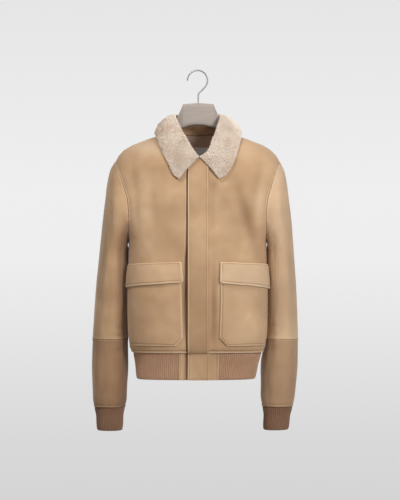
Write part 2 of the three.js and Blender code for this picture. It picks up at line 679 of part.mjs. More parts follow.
function cuff(handName) {
  const hand = hands[handName];
  const rows = cuffRows[handName];
  const place = (row, angle) => {
    const middleX = (row.outerX + row.innerX) / 2;
    const centre = point(hand * middleX, row.midY, row.z - (row.z === cuffSeamZ ? seam / 2 : 0));
    const at = centre.clone().add(point(
      hand * (row.outerX - middleX) * Math.cos(angle),
      -row.halfDepth * Math.sin(angle),
      0,
    ));
    return { at, out: at.clone().sub(centre).normalize() };
  };
  const points = 4 * Math.round(cuffGirth / ribPitch / 2);
  const angles = evenAngles((angle) => place(rows[1], angle).at, 0, 2 * Math.PI, points).slice(0, -1);
  const grid = ribs(rows.map((row) => angles.map((angle) => place(row, angle))));
  add(`cuff_${handName}`, wall(grid.map((row) => row.outer), grid.map((row) => row.inner), true), 'knit');
}

function hemBand() {
  const heights = [hemSeamZ - seam / 2, hemRows[1].z, hemEndZ];
  const round = (angle, z) => {
    const x = hemWidth(z) * signedPower(Math.sin(angle), 2 / squareness);
    const side = Math.cos(angle) > 0 ? -1 : 1;
    const depth = hemDepth[side](z);
    const at = point(x, side * depth * Math.abs(Math.cos(angle)) ** (2 / squareness), z);
    const slopeX = signedPower(x / hemWidth(z), squareness - 1) / hemWidth(z);
    const slopeY = signedPower(at.y / depth, squareness - 1) / depth;
    return { at, out: point(slopeX, slopeY, 0).normalize() };
  };
  const midZ = heights[1];
  const from = angleAt(hem, tabSeamX.left + seam / 2, midZ);
  const to = 2 * Math.PI + angleAt(hem, tabSeamX.right - seam / 2, midZ);
  const points = 4 * Math.round(hemGirth / ribPitch / 2);
  const angles = evenAngles((angle) => round(angle, midZ).at, from, to, points);
  const ends = (z, j) => {
    if (j === 0) return angleAt(hem, tabSeamX.left + seam / 2, z);
    if (j === points) return 2 * Math.PI + angleAt(hem, tabSeamX.right - seam / 2, z);
    return angles[j];
  };
  const grid = ribs(heights.map((z) => angles.map((_, j) => round(ends(z, j), z))));
  add('hem_rib', wall(grid.map((row) => row.outer), grid.map((row) => row.inner)), 'knit');
}

// The collar leaf lies from its fold line down to its outer edge, and the stand carries it from the neckline
const columnCurves = (table, names) => names.map((name) => curve(table, 'at', name));
const foldNames = ['rightX', 'leftX', 'y', 'z', 'rise'];
const [foldRightX, foldLeftX, foldY, foldZ, leafRise] = columnCurves(collarFoldRows, foldNames);
const edgeNames = ['rightX', 'leftX', 'z', 'neck'];
const [edgeRightX, edgeLeftX, edgeZ, neckAngle] = columnCurves(collarEdgeRows, edgeNames);

function awayFromJacket(side, x, z) {
  const small = 0.5;
  const height = Math.min(z, shoulderZ(Math.abs(x)) - small);
  const across = (torsoY(side, x + small, height) - torsoY(side, x - small, height)) / (2 * small);
  const up = (torsoY(side, x, height + small) - torsoY(side, x, height - small)) / (2 * small);
  return point(-across * side, side, -up * side).normalize();
}

function collarLine(at) {
  const s = Math.abs(at);
  const hand = at < 0 ? -1 : 1;
  const fold = point(hand * (hand < 0 ? foldRightX(s) : foldLeftX(s)), foldY(s), foldZ(s));
  const x = hand * (hand < 0 ? edgeRightX(s) : edgeLeftX(s));
  const z = edgeZ(s);
  const side = s > collarRidgeAt ? -1 : 1;
  const edge = point(x, torsoY(side, x, z), z)
    .addScaledVector(awayFromJacket(side, x, z), shearling + standClear);
  return { fold, edge, rise: leafRise(s) };
}

function leafPoint(at, down) {
  const { fold, edge, rise } = collarLine(at);
  const middle = fold.clone().add(edge).multiplyScalar(0.5);
  const lift = point(middle.x, middle.y * 0.8, 0).normalize().add(point(0, 0, 0.9)).normalize();
  const place = fold.lerp(edge, down).addScaledVector(lift, 4 * rise * down * (1 - down));
  if (Math.abs(at) > leafLiesFrom) {
    const { from, to } = leafOverFly;
    const overFly = clamp((to - Math.abs(place.x)) / (to - from), 0, 1) * fly;
    place.y = Math.min(place.y, torsoY(-1, place.x, place.z) - shearling - overFly - leafClear);
  }
  return place;
}

const halfCollar = [0, 0.11, 0.22, 0.32, 0.42, 0.51, 0.6, 0.66, 0.72, 0.77, 0.82, 0.865, 0.91, 0.9375, 0.965];
const collarPlaces = [-1, -0.985, ...halfCollar.slice(1).reverse().map((s) => -s), ...halfCollar, 0.985, 1];

function collarLeaf() {
  const downs = [0, 0.12, 0.35, 0.6, 0.82, 1];
  const grid = downs.map((down) => collarPlaces.map((at) => leafPoint(at, down)));
  const ways = directions(grid, (p) => point(p.x, p.y, 60));
  add('collar_leaf', wall(grid, movedOut(grid, ways, -shearling)), 'shearling');
}

function neckPoint(degrees) {
  const angle = radians(degrees);
  const x = neckHalfWidth * Math.sin(angle);
  const side = degrees > 90 ? -1 : 1;
  const z = panelTopZ(side, x);
  return point(x, torsoY(side, x, z), z);
}

function collarStand() {
  const inwards = (p) => point(-p.x, -p.y, 0).normalize();
  const line = collarPlaces.map((at) => {
    const s = Math.abs(at);
    const base = neckPoint(neckAngle(s));
    base.x *= Math.sign(at) || 1;
    base.addScaledVector(inwards(base), suede + standClear);
    const top = leafPoint(at, 0);
    const below = leafPoint(at, 0.06);
    const around = [0, 0.1].map((down) => [leafPoint(at - 0.01, down), leafPoint(at + 0.01, down)]);
    const leafWay = directions(around, (p) => point(p.x, p.y, 60))[0][0];
    top.lerp(below, 0.9).addScaledVector(leafWay, -shearling - lay).addScaledVector(inwards(top), 1);
    return { base, top, way: inwards(base.clone().add(top)) };
  });
  const ups = [0, 0.33, 0.66, 1];
  const grid = (depth) => ups.map((up) => line.map(({ base, top, way }) => base.clone().lerp(top, up)
    .addScaledVector(way, depth)));
  add('collar_stand', wall(grid(0), grid(suede)), 'suede');
}

// The hanger is lofted along X from one tip to the other through rounded sections
function hangerBody() {
  const round = 12;
  const mirrored = [...hangerRows].reverse().map((row) => ({ ...row, x: -row.x }));
  const rows = mirrored.concat(hangerRows.slice(1)).map((row) => {
    const share = clamp((blockShift.none - Math.abs(row.x)) / (blockShift.none - blockShift.full), 0, 1);
    return { ...row, x: row.x + blockShift.by * share };
  });
  const points = rows.flatMap((row) => Array.from({ length: round }, (_, k) => {
    const angle = (2 * Math.PI * (k + 0.5)) / round;
    const power = row.top > -150 ? 0.35 : 0.8;
    const across = signedPower(Math.cos(angle), power);
    const up = signedPower(Math.sin(angle), power);
    const y = across * (across < 0 ? row.front : row.back);
    return point(row.x, y, (row.top + row.foot) / 2 + (up * (row.top - row.foot)) / 2);
  }));
  const faces = [];
  for (let i = 0; i + 1 < rows.length; i += 1) {
    for (let k = 0; k < round; k += 1) {
      const next = (k + 1) % round;
      const [a, b, c, d] = [i * round + k, i * round + next, (i + 1) * round + next, (i + 1) * round + k];
      faces.push([a, b, c], [a, c, d]);
    }
  }
  const last = (rows.length - 1) * round;
  for (let k = 1; k + 1 < round; k += 1) {
    faces.push([0, k + 1, k], [last, last + k, last + k + 1]);
  }
  add('hanger_body', solid(points, faces), 'hanger');
}

function hook() {
  const middleZ = -(hookRadius - wire / 2);
  const turns = 16;
  const places = Array.from({ length: turns + 1 }, (_, n) => {
    const angle = radians(mix(hookTurnFrom, hookTurnTo, n / turns));
    return point(hookRadius * Math.cos(angle), 0, middleZ + hookRadius * Math.sin(angle));
  });
  const stemTopZ = hookBendZ - 3;
  const stemEndZ = hangerRows[0].top + seam;
  places.push(point(hookStemX + 3.5, 0, hookBendZ + 4.2), point(hookStemX, 0, stemTopZ));
  places.push(point(hookStemX, 0, mix(stemTopZ, stemEndZ, 0.5)), point(hookStemX, 0, stemEndZ));
  const path = new THREE.CatmullRomCurve3(places, false, 'centripetal');
  const section = new THREE.Shape().absarc(0, 0, wire / 2, 0, 2 * Math.PI);
  const geometry = new THREE.ExtrudeGeometry(section, { curveSegments: 4, steps: 34, extrudePath: path });
  add('hook', geometry, 'hook');
}

const frontStartX = { right: -rightFrontEdgeX, left: rightFrontEdgeX + 1.5 };
backPanel();
flyStrip();
hemTabs();
hemBand();
Object.keys(hands).forEach((handName) => {
  const start = frontStartX[handName];
  front(`front_${handName}`, hands[handName], start);
  pocket(handName, start);
  flap(handName, start);
  sleeve(handName);
  cuff(handName);
});
collarLeaf();
collarStand();
neckLabel();
hangerBody();
hook();

export default jacket;
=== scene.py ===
import functools
import math

import bmesh
import bpy
import numpy as np
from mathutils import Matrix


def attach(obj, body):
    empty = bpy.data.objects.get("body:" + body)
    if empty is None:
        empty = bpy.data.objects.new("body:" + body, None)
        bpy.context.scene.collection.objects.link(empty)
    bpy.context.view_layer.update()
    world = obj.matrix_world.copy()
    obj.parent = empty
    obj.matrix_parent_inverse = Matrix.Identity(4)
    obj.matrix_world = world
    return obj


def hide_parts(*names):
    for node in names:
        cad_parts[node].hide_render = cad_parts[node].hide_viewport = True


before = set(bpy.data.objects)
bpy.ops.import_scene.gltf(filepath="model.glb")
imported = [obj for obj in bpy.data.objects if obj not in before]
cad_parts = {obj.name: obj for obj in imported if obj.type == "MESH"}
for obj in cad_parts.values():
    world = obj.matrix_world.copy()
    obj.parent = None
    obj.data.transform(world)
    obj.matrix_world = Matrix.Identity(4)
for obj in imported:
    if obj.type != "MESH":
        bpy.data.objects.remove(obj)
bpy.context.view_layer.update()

# Camera: level and far away in front of the jacket. The picture takes in 1.25 m at the jacket,
# so that a pixel of 400 x 500 is 2.5 mm there.
PICTURE_HEIGHT = 1.25
PICTURE_MIDDLE = (0.00625, -0.44725)
CAMERA_AWAY = 6.0
SENSOR = 36.0
camera = bpy.data.objects.new("camera", bpy.data.cameras.new("camera"))
camera.data.sensor_fit = "VERTICAL"
camera.data.sensor_height = SENSOR
camera.data.lens = SENSOR * CAMERA_AWAY / PICTURE_HEIGHT
camera.location = (PICTURE_MIDDLE[0], -CAMERA_AWAY, PICTURE_MIDDLE[1])
camera.rotation_euler = (math.pi / 2, 0, 0)
bpy.context.scene.collection.objects.link(camera)
bpy.context.scene.camera = camera

# Studio: a plain pale floor, far enough below the jacket to lie under the picture, a pale surround,
# one soft light high on the viewer's right, and weaker ones for the other side and the back.
bpy.context.scene.view_settings.view_transform = "Standard"
STUDIO_LIGHTS = [
    # name, place, aim, size, power in watts, colour
    ("key", (1.35, -2.2, 0.4), (0.12, 0.0, -0.55), 0.8, 42, (0.96, 1.0, 1.08)),
    ("top", (-0.55, -1.2, 1.4), (-0.05, 0.0, -0.3), 0.7, 27, (0.96, 1.0, 1.08)),
    ("front", (-0.1, -3.4, 0.2), (0.0, 0.0, -0.35), 0.6, 8, (1.0, 0.98, 0.95)),
    ("rim_right", (1.7, 1.9, 0.9), (0.1, 0.0, -0.4), 1.2, 15, (1.0, 1.0, 1.0)),
    ("rim_left", (-1.7, 1.9, 0.9), (-0.1, 0.0, -0.4), 1.2, 15, (1.0, 1.0, 1.0)),
]
for name, place, aim, width, power, colour in STUDIO_LIGHTS:
    lamp = bpy.data.objects.new(name, bpy.data.lights.new(name, "AREA"))
    lamp.data.shape = "DISK"
    lamp.data.size = width
    lamp.data.energy = power
    lamp.data.color = colour
    lamp.location = place
    way = np.subtract(aim, place)
    lamp.rotation_euler = (math.atan2(math.hypot(way[0], way[1]), -way[2]), 0,
                           math.atan2(way[1], way[0]) - math.pi / 2)
    bpy.context.scene.collection.objects.link(lamp)

SURROUND_LIGHT = 0.23
SURROUND_RISE = 0.104       # rise of the view at the picture's upper edge
# The surround that the camera sees is painted with light and shade by the height of the view: darker at its
# foot, lightest a little above the middle.
SURROUND_PAINTED_LIGHT = [(0.0, 0.66), (0.12, 0.69), (0.48, 0.855), (0.62, 0.86), (1.0, 0.79)]
world = bpy.data.worlds.new("surround")
world.use_nodes = True
bpy.context.scene.world = world
sky = world.node_tree
unseen = sky.nodes["Background"]
unseen.inputs["Color"].default_value = (1, 0.94, 0.87, 1)
unseen.inputs["Strength"].default_value = SURROUND_LIGHT
rise = sky.nodes.new("ShaderNodeSeparateXYZ")
sky.links.new(sky.nodes.new("ShaderNodeTexCoord").outputs["Generated"], rise.inputs[0])
span = sky.nodes.new("ShaderNodeMapRange")
span.inputs["From Min"].default_value = -SURROUND_RISE
span.inputs["From Max"].default_value = SURROUND_RISE
sky.links.new(rise.outputs["Z"], span.inputs["Value"])
tones = sky.nodes.new("ShaderNodeValToRGB")
while len(tones.color_ramp.elements) < len(SURROUND_PAINTED_LIGHT):
    tones.color_ramp.elements.new(0.5)
for element, (at, tone) in zip(tones.color_ramp.elements, SURROUND_PAINTED_LIGHT):
    element.position = at
    element.color = (tone, tone, tone, 1)
sky.links.new(span.outputs["Result"], tones.inputs["Fac"])
seen = sky.nodes.new("ShaderNodeBackground")
sky.links.new(tones.outputs["Color"], seen.inputs["Color"])
either = sky.nodes.new("ShaderNodeMixShader")
sky.links.new(sky.nodes.new("ShaderNodeLightPath").outputs["Is Camera Ray"], either.inputs["Fac"])
sky.links.new(unseen.outputs["Background"], either.inputs[1])
sky.links.new(seen.outputs["Background"], either.inputs[2])
sky.links.new(either.outputs["Shader"], sky.nodes["World Output"].inputs["Surface"])

FLOOR_Z, FLOOR_REACH = -1.75, 4.5
floor_mesh = bpy.data.meshes.new("floor")
floor_mesh.from_pydata([(FLOOR_REACH * math.cos(a), FLOOR_REACH * math.sin(a), FLOOR_Z)
                        for a in np.linspace(0, 2 * math.pi, 97)[:-1]], [], [list(range(96))])
floor = bpy.data.objects.new("floor", floor_mesh)
bpy.context.scene.collection.objects.link(floor)
floor_paint = bpy.data.materials.new("floor_paint")
floor_paint.use_nodes = True
floor_paint.node_tree.nodes["Principled BSDF"].inputs["Base Color"].default_value = (0.7, 0.7, 0.7, 1)
floor_paint.node_tree.nodes["Principled BSDF"].inputs["Roughness"].default_value = 0.9
floor_mesh.materials.append(floor_paint)

# Back: one hide of napped suede with its flesh side in, cut from side seam to side seam and up to
# the shoulders. All cloth is measured in millimetres here, from the rail, and made in metres.
MM = 0.001
SUEDE = 2.5                 # thickness of the suede
SEAM = 0.3                  # space between pieces that are sewn together
CELL = 3.4                  # spacing of a cloth mesh's points
ARMPIT_Z, SHOULDER_TIP_Z, HEM_SEAM_Z = -425, -228, -702
NECK_HALF_WIDTH, NECK_FRONT_Z, NECK_BACK_Z = 72, -232, -158
SQUARENESS = 2.6            # of the torso's level sections
SHOULDER_ROUND = 92         # height over which the fronts turn in to the shoulder line
FRONT, BACK = -1, 1


def smooth_curve(at, value, x):
    """A curve without overshoot through the points (at, value), which run upwards in at."""
    run = np.diff(at)
    steep = np.diff(value) / run
    before, after = np.append(steep[:1], steep), np.append(steep, steep[-1:])
    slope = np.where(before * after > 0, 2 * before * after / (before + after + 1e-12), 0)
    x = np.clip(x, at[0], at[-1])
    i = np.clip(np.searchsorted(at, x) - 1, 0, len(at) - 2)
    t = (x - at[i]) / run[i]
    return (value[i] * (1 - t) ** 2 * (1 + 2 * t) + value[i + 1] * t ** 2 * (3 - 2 * t)
            + run[i] * t * (1 - t) * (slope[i] * (1 - t) - slope[i + 1] * t))


def table(names, rows):
    """Curves by name, through the columns of a table, along its first column."""
    columns = np.array(sorted(rows), float).T
    return {name: functools.partial(smooth_curve, columns[0], column)
            for name, column in zip(names.split()[1:], columns[1:])}


torso = table("z width front back", [
    (-702, 162, 90, 70), (-694, 166.5, 95, 75), (-679, 170, 99, 79), (-640, 173, 103, 82),
    (-540, 174, 106, 85), (-425, 172, 108, 87), (-411, 175, 108, 87), (-394, 181, 107.6, 86.6),
    (-370, 190, 107, 86), (-340, 199.5, 106.3, 85.2), (-300, 210, 105, 83.5),
    (-260, 219.5, 102.5, 80.5), (-228, 226, 100, 78), (-120, 235, 94, 74)])
armhole_x = table("z x", [
    (-425, 172), (-400, 170.6), (-367, 169.8), (-330, 172), (-290, 182), (-261, 192),
    (-240, 201), (-228, 206)])["x"]
shoulder_z = table("x z", [
    (0, -128), (40, -139), (72, -150), (110, -165), (144, -177), (169, -188), (185, -198.5),
    (196, -210), (206, -228), (211, -240)])["z"]

# Folds of the body: side, middle, reach across and along, lean and depth. The first nine are the
# large ones of the frame's solids, and the finer ones after them are seen only here.
BODY_FOLDS = [
    (FRONT, -158, -262, 13, 48, 0.1, 4), (FRONT, -86, -372, 30, 95, 0.05, 3.5),
    (FRONT, 152, -268, 14, 52, -0.12, 4), (FRONT, 122, -362, 17, 82, 0.3, 6),
    (FRONT, 62, -350, 16, 70, -0.12, 2.5), (BACK, -120, -380, 22, 100, 0.22, 5),
    (BACK, 118, -396, 20, 90, -0.25, 5.5), (BACK, 34, -560, 26, 110, 0.05, 3.5),
    (BACK, -62, -600, 24, 80, -0.08, 3), (FRONT, -150, -345, 7, 44, 0.05, 2.2),
    (FRONT, -128, -402, 15, 34, -0.35, 1.8), (FRONT, -60, -310, 13, 70, -0.1, 1.8),
    (FRONT, 84, -300, 12, 46, 0.35, 2.0), (FRONT, 34, -330, 6, 90, 0.02, 1.3),
    (FRONT, 40, -545, 8, 70, 0.03, 3.6), (FRONT, 36, -655, 7, 30, -0.12, 2.6),
    (FRONT, -34, -590, 4, 70, 0.02, 1.2), (FRONT, 90, -432, 26, 12, 0.3, 1.2),
    (FRONT, 150, -345, 8, 50, -0.06, 2.2), (FRONT, 0, -534, 22, 7, 0.5, 0.7),
    (FRONT, -8, -420, 14, 10, 0.4, 0.5), (FRONT, 100, -240, 22, 16, 0.6, 1.0),
    (FRONT, -104, -250, 24, 15, -0.5, 1.0), (BACK, -150, -300, 8, 60, 0.12, 2.0),
    (BACK, 152, -310, 8, 56, -0.14, 2.2), (BACK, 0, -230, 60, 10, 0, 1.0),
    (BACK, -20, -330, 14, 70, 0.03, 1.4), (BACK, 70, -640, 10, 50, 0.1, 1.8),
    (BACK, -110, -655, 9, 36, -0.15, 1.8), (BACK, 130, -560, 9, 60, 0.12, 2.0),
]
# Slow unevenness that hanging cloth always has: wavelengths across and up, phase and height.
UNEVENNESS = [(140, 230, 0.3, 0.7), (-95, 160, 1.9, 0.5), (64, -118, 4.1, 0.35), (-47, -73, 2.6, 0.22)]
# Places where light and shade are painted into the nap, lighter or darker: side, middle, reach across and
# along, lean, tone.
PAINTED_LIGHT_AND_SHADE = [
    (FRONT, 41, -287, 14, 18, 0.0, -0.4), (FRONT, 40, -590, 9, 80, 0.02, -0.7),
    (FRONT, 122, -362, 13, 84, 0.3, -0.42), (FRONT, 152, -330, 13, 66, -0.05, 0.5),
    (FRONT, -106, -325, 9, 52, 0.05, -0.22), (FRONT, -125, -370, 22, 60, 0.0, 0.2),
    (FRONT, -61, -375, 18, 70, 0.0, 0.12), (FRONT, -30.5, -590, 5.5, 76, 0.02, -0.9),
    (FRONT, -125, -195, 34, 20, 0.0, 0.46), (FRONT, 118, -205, 34, 22, 0.0, 0.12),
    (FRONT, 86, -360, 22, 62, 0.2, -0.3), (FRONT, 36, -360, 8, 70, 0.0, -0.16),
    (FRONT, -158, -262, 10, 40, 0.1, -0.15), (FRONT, 152, -268, 9, 40, -0.1, -0.12),
    (BACK, 90, -420, 30, 70, 0.2, -0.3), (BACK, -60, -300, 30, 50, 0.1, 0.25),
    (BACK, -120, -380, 18, 90, 0.22, -0.3), (BACK, 40, -550, 20, 90, 0.05, -0.25),
    (BACK, 5, -420, 26, 110, 0.0, 0.18), (BACK, -70, -600, 18, 70, -0.08, -0.2),
]
FOLD_PAINTED_SHADE = 0.04           # how much painted shade darkens the nap with each millimetre of a fold's depth


def signed_power(value, power):
    """A power of the size of each value, which keeps its sign."""
    return np.sign(value) * np.abs(value) ** power


def over_places(places, side, x, z):
    """Sum at (x, z) of the last column of a list of places, each fading out over its reach."""
    total = 0
    for place_side, middle_x, middle_z, across, along, lean, most in places:
        off = (x - middle_x - lean * (middle_z - z)) / across
        total = total + (side == place_side) * most * np.exp(-off ** 2 - ((z - middle_z) / along) ** 2)
    return total


def unevenness(x, z):
    """How far hanging cloth stands off its plain form at (x, z)."""
    return sum(high * np.sin(2 * np.pi * (x / a + z / b) + phase) for a, b, phase, high in UNEVENNESS)


def torso_y(side, x, z):
    """Y of the torso's outside, before or behind the side seams."""
    reach = np.minimum(np.abs(x) / torso["width"](z), 1)
    level = (1 - reach ** SQUARENESS) ** (1 / SQUARENESS)
    below = np.clip((shoulder_z(np.abs(x)) - z) / SHOULDER_ROUND, 0, 1)
    depth = np.where(np.asarray(side) < 0, torso["front"](z), torso["back"](z))
    depth = depth - over_places(BODY_FOLDS, side, x, z) + unevenness(x, z)
    return side * depth * level * np.sqrt(1 - (1 - below) ** 2)


def panel_edge_x(z):
    """X of a panel's outer edge: the side seam, and the armhole above it."""
    return np.where(z <= ARMPIT_Z, torso["width"](z), armhole_x(z))


def panel_top_z(side, x):
    """Height of a panel's upper edge: the neckline, and the shoulder seam beyond it."""
    neck = NECK_FRONT_Z if side < 0 else NECK_BACK_Z
    along = np.abs(x) / NECK_HALF_WIDTH
    inside = neck + (shoulder_z(NECK_HALF_WIDTH) - neck) * np.minimum(along, 1) ** 2.2
    return np.where(along < 1, inside, shoulder_z(np.abs(x)))


def steps(length, cell=CELL, lines=()):
    """Shares of a length at which a mesh has its points: close together at both ends and at sewn lines."""
    ends = [d for near in (0.0, 0.2, 0.6, 1.3) for d in (near, length - near)]
    sewn = [line + d for line in lines for d in (-1.7, -0.8, 0, 0.8, 1.7)]
    dense = np.array(ends + sewn)
    even = np.linspace(0, length, max(3, round(length / cell)))
    kept = [p for p in even if np.abs(dense - p).min() > 0.9]
    return np.unique(np.clip([*kept, *dense], 0, length)) / length


def outward(grid, axis, closed=False):
    """Unit normals of a grid of points, on the side away from an upright axis at (x, y)."""
    wide = np.concatenate([grid[:, -1:], grid, grid[:, :1]], axis=1) if closed else grid
    normal = np.cross(np.gradient(wide, axis=1), np.gradient(wide, axis=0))
    normal = normal[:, 1:-1] if closed else normal
    normal /= np.maximum(np.linalg.norm(normal, axis=2, keepdims=True), 1e-9)
    away = np.sum(normal[..., :2] * (grid[..., :2] - np.array(axis)))
    return normal if away > 0 else -normal


def edge_distances(grid):
    """Millimetres of cloth from each point of a grid to its first and last row, first and last column."""
    made = []
    for axis in (0, 1):
        gaps = np.linalg.norm(np.diff(grid, axis=axis), axis=2)
        start = np.zeros_like(np.take(gaps, [0], axis=axis))
        length = np.cumsum(np.concatenate([start, gaps], axis=axis), axis=axis)
        made += [length, np.take(length, [-1], axis=axis) - length]
    return made


def rounded(distance, radius=1.3):
    """How far a cut or folded edge falls away within its radius."""
    inside = np.clip(1 - distance / radius, 0, 1)
    return radius * (1 - np.sqrt(np.maximum(1 - inside ** 2, 0)))


def fade(distance, width):
    """1 at no distance, falling softly to almost nothing at twice the width."""
    return np.exp(-(distance / width) ** 2)


def turned_edge(distance, swell=0.4, at=2.8, width=1.8, radius=1.9):
    """Relief of an edge that is turned in: round at its fold, and fuller a little way from it."""
    return swell * fade(distance - at, width) - rounded(distance, radius)


def sewn_line(distance, depth=0.8, width=1.1):
    """The narrow groove that a row of stitches pulls into the cloth, at no distance from it."""
    return depth * fade(distance, width)


def object_from(name, points, faces, materials):
    """A piece in metres from points in millimetres and groups of faces, one group to each material."""
    mesh = bpy.data.meshes.new(name)
    mesh.from_pydata(np.asarray(points) * MM, [], np.concatenate(faces).tolist())
    for material in materials:
        mesh.materials.append(material)
    kind = np.concatenate([np.full(len(group), n) for n, group in enumerate(faces)])
    mesh.polygons.foreach_set("material_index", kind.astype(np.int32))
    mesh.shade_smooth()
    mesh.set_sharp_from_angle(angle=math.radians(55))
    piece = bpy.data.objects.new(name, mesh)
    bpy.context.scene.collection.objects.link(piece)
    return piece


def grid_faces(index):
    """Four-sided faces between the points of a grid of numbers."""
    return np.stack([index[:-1, :-1], index[:-1, 1:], index[1:, 1:], index[1:, :-1]], -1).reshape(-1, 4)


def shell(name, grid, axis, materials, thick=SUEDE, relief=0, under=0, marks=0, closed=False, cloth=None):
    """A closed wall of cloth. grid holds its outside, relief is raised on that alone and under is taken
    off its inside. marks is from 1 on worn edges and painted highlights to -1 in grooves and painted
    shade, and cloth holds places on the cloth."""
    ways = outward(grid, axis, closed)
    outer = grid + ways * np.broadcast_to(relief, grid.shape[:2])[..., None]
    inner = grid - ways * (thick - np.broadcast_to(under, grid.shape[:2]))[..., None]
    rows, columns = grid.shape[:2]
    index = np.arange(rows * columns).reshape(rows, columns)
    if closed:
        index = np.hstack([index, index[:, :1]])
    skin = grid_faces(index)
    hidden = skin[:, ::-1] + rows * columns
    rings = [index[0], index[-1, ::-1]]
    if not closed:
        rings = [np.concatenate([index[0, :-1], index[:-1, -1], index[-1, :0:-1], index[:0:-1, 0],
                                 index[0, :1]])]
    rims = [np.stack([ring[1:], ring[:-1], ring[:-1] + rows * columns, ring[1:] + rows * columns], -1)
            for ring in rings]
    a, b, c = (outer.reshape(-1, 3)[skin[:, k]] for k in (0, 1, 2))
    middle = skin[len(skin) // 2]
    turn = np.dot(np.cross(b - a, c - a)[len(skin) // 2], ways.reshape(-1, 3)[middle[0]])
    groups = [np.concatenate([skin, *rims]), hidden]
    if turn < 0:
        groups = [group[:, ::-1] for group in groups]
    piece = object_from(name, np.concatenate([outer.reshape(-1, 3), inner.reshape(-1, 3)]), groups, materials)
    place = np.zeros((*grid.shape[:2], 3))
    if cloth is not None:
        place[..., 0], place[..., 1] = cloth
    place[..., 2] = marks
    layer = piece.data.attributes.new("cloth", "FLOAT_VECTOR", "POINT")
    layer.data.foreach_set("vector", np.concatenate([place, place]).astype(np.float32).ravel())
    return piece, outer + ways * 0.15


def group_tree(name, inputs, outputs):
    """An empty shader node group with its named inputs (with their values) and outputs."""
    tree = bpy.data.node_groups.new(name, "ShaderNodeTree")
    for label, value in inputs.items():
        tree.interface.new_socket(label, in_out="INPUT", socket_type="NodeSocketFloat").default_value = value
    for label in outputs:
        tree.interface.new_socket(label, in_out="OUTPUT", socket_type="NodeSocketFloat")
    return tree, tree.nodes.new("NodeGroupInput"), tree.nodes.new("NodeGroupOutput")


def noise(tree, vector, scale, detail=3.0):
    """Grey noise from 0 to 1. scale is a number or a socket."""
    node = tree.nodes.new("ShaderNodeTexNoise")
    tree.links.new(vector, node.inputs["Vector"])
    node.inputs["Detail"].default_value = detail
    if isinstance(scale, (int, float)):
        node.inputs["Scale"].default_value = scale
    else:
        tree.links.new(scale, node.inputs["Scale"])
    return node.outputs["Fac"]


def maths(tree, operation, first, second=None, third=None):
    """The result of a maths node on numbers or sockets."""
    node = tree.nodes.new("ShaderNodeMath")
    node.operation = operation
    for n, value in enumerate((first, second, third)):
        if isinstance(value, (int, float)):
            node.inputs[n].default_value = value
        elif value is not None:
            tree.links.new(value, node.inputs[n])
    return node.outputs[0]


def spread(tree, value, low, high):
    """value between low and high, taken to 0 to 1."""
    node = tree.nodes.new("ShaderNodeMapRange")
    tree.links.new(value, node.inputs["Value"])
    node.inputs["From Min"].default_value = low
    node.inputs["From Max"].default_value = high
    return node.outputs["Result"]


def nap_group():
    """The look of brushed suede: slow patches, the marks of hands, its fine nap, worn edges with painted
    highlights, and grooves with painted shade.
    """
    tree, given, made = group_tree("suede_nap", {"Patches per metre": 11.0, "Nap per metre": 950.0},
                                   ("Patches", "Marks", "Nap", "Wear and highlight", "Groove and shade", "Height"))
    place = tree.nodes.new("ShaderNodeTexCoord").outputs["Object"]
    cloth = tree.nodes.new("ShaderNodeAttribute")
    cloth.attribute_name = "cloth"
    split = tree.nodes.new("ShaderNodeSeparateXYZ")
    tree.links.new(cloth.outputs["Vector"], split.inputs[0])
    nap = noise(tree, place, given.outputs["Nap per metre"], 4)
    marks = noise(tree, place, 46, 5)
    tree.links.new(spread(tree, noise(tree, place, given.outputs["Patches per metre"], 2), 0.32, 0.68),
                   made.inputs["Patches"])
    tree.links.new(spread(tree, marks, 0.34, 0.68), made.inputs["Marks"])
    tree.links.new(nap, made.inputs["Nap"])
    # Positive marks carry worn edges and painted highlights, negative ones grooves and painted shade.
    tree.links.new(maths(tree, "MAXIMUM", split.outputs["Z"], 0.0), made.inputs["Wear and highlight"])
    tree.links.new(maths(tree, "MAXIMUM", maths(tree, "MULTIPLY", split.outputs["Z"], -1.0), 0.0),
                   made.inputs["Groove and shade"])
    tree.links.new(maths(tree, "MULTIPLY_ADD", marks, 0.6, nap), made.inputs["Height"])
    return tree


def blend(tree, share, first, second):
    """A colour between two, which are colours or sockets, by a share that is a number or a socket."""
    node = tree.nodes.new("ShaderNodeMix")
    node.data_type = "RGBA"
    for socket, value in ((node.inputs[0], share), (node.inputs[6], first), (node.inputs[7], second)):
        if isinstance(value, bpy.types.NodeSocket):
            tree.links.new(value, socket)
        else:
            socket.default_value = (*value, 1) if isinstance(value, tuple) else value
    return node.outputs[2]


def principled(name, roughness, **sockets):
    """A material, its node tree and its shader, with plain values set on the shader's own sockets."""
    material = bpy.data.materials.new(name)
    material.use_nodes = True
    shader = material.node_tree.nodes["Principled BSDF"]
    shader.inputs["Roughness"].default_value = roughness
    for label, value in sockets.items():
        shader.inputs[label.replace("_", " ")].default_value = value
    return material, material.node_tree, shader


def bump(tree, shader, height, distance, strength=1.0):
    """Lets a height stand up as fine relief, with its distance in metres."""
    node = tree.nodes.new("ShaderNodeBump")
    node.inputs["Distance"].default_value = distance
    node.inputs["Strength"].default_value = strength
    tree.links.new(height, node.inputs["Height"])
    tree.links.new(node.outputs["Normal"], shader.inputs["Normal"])


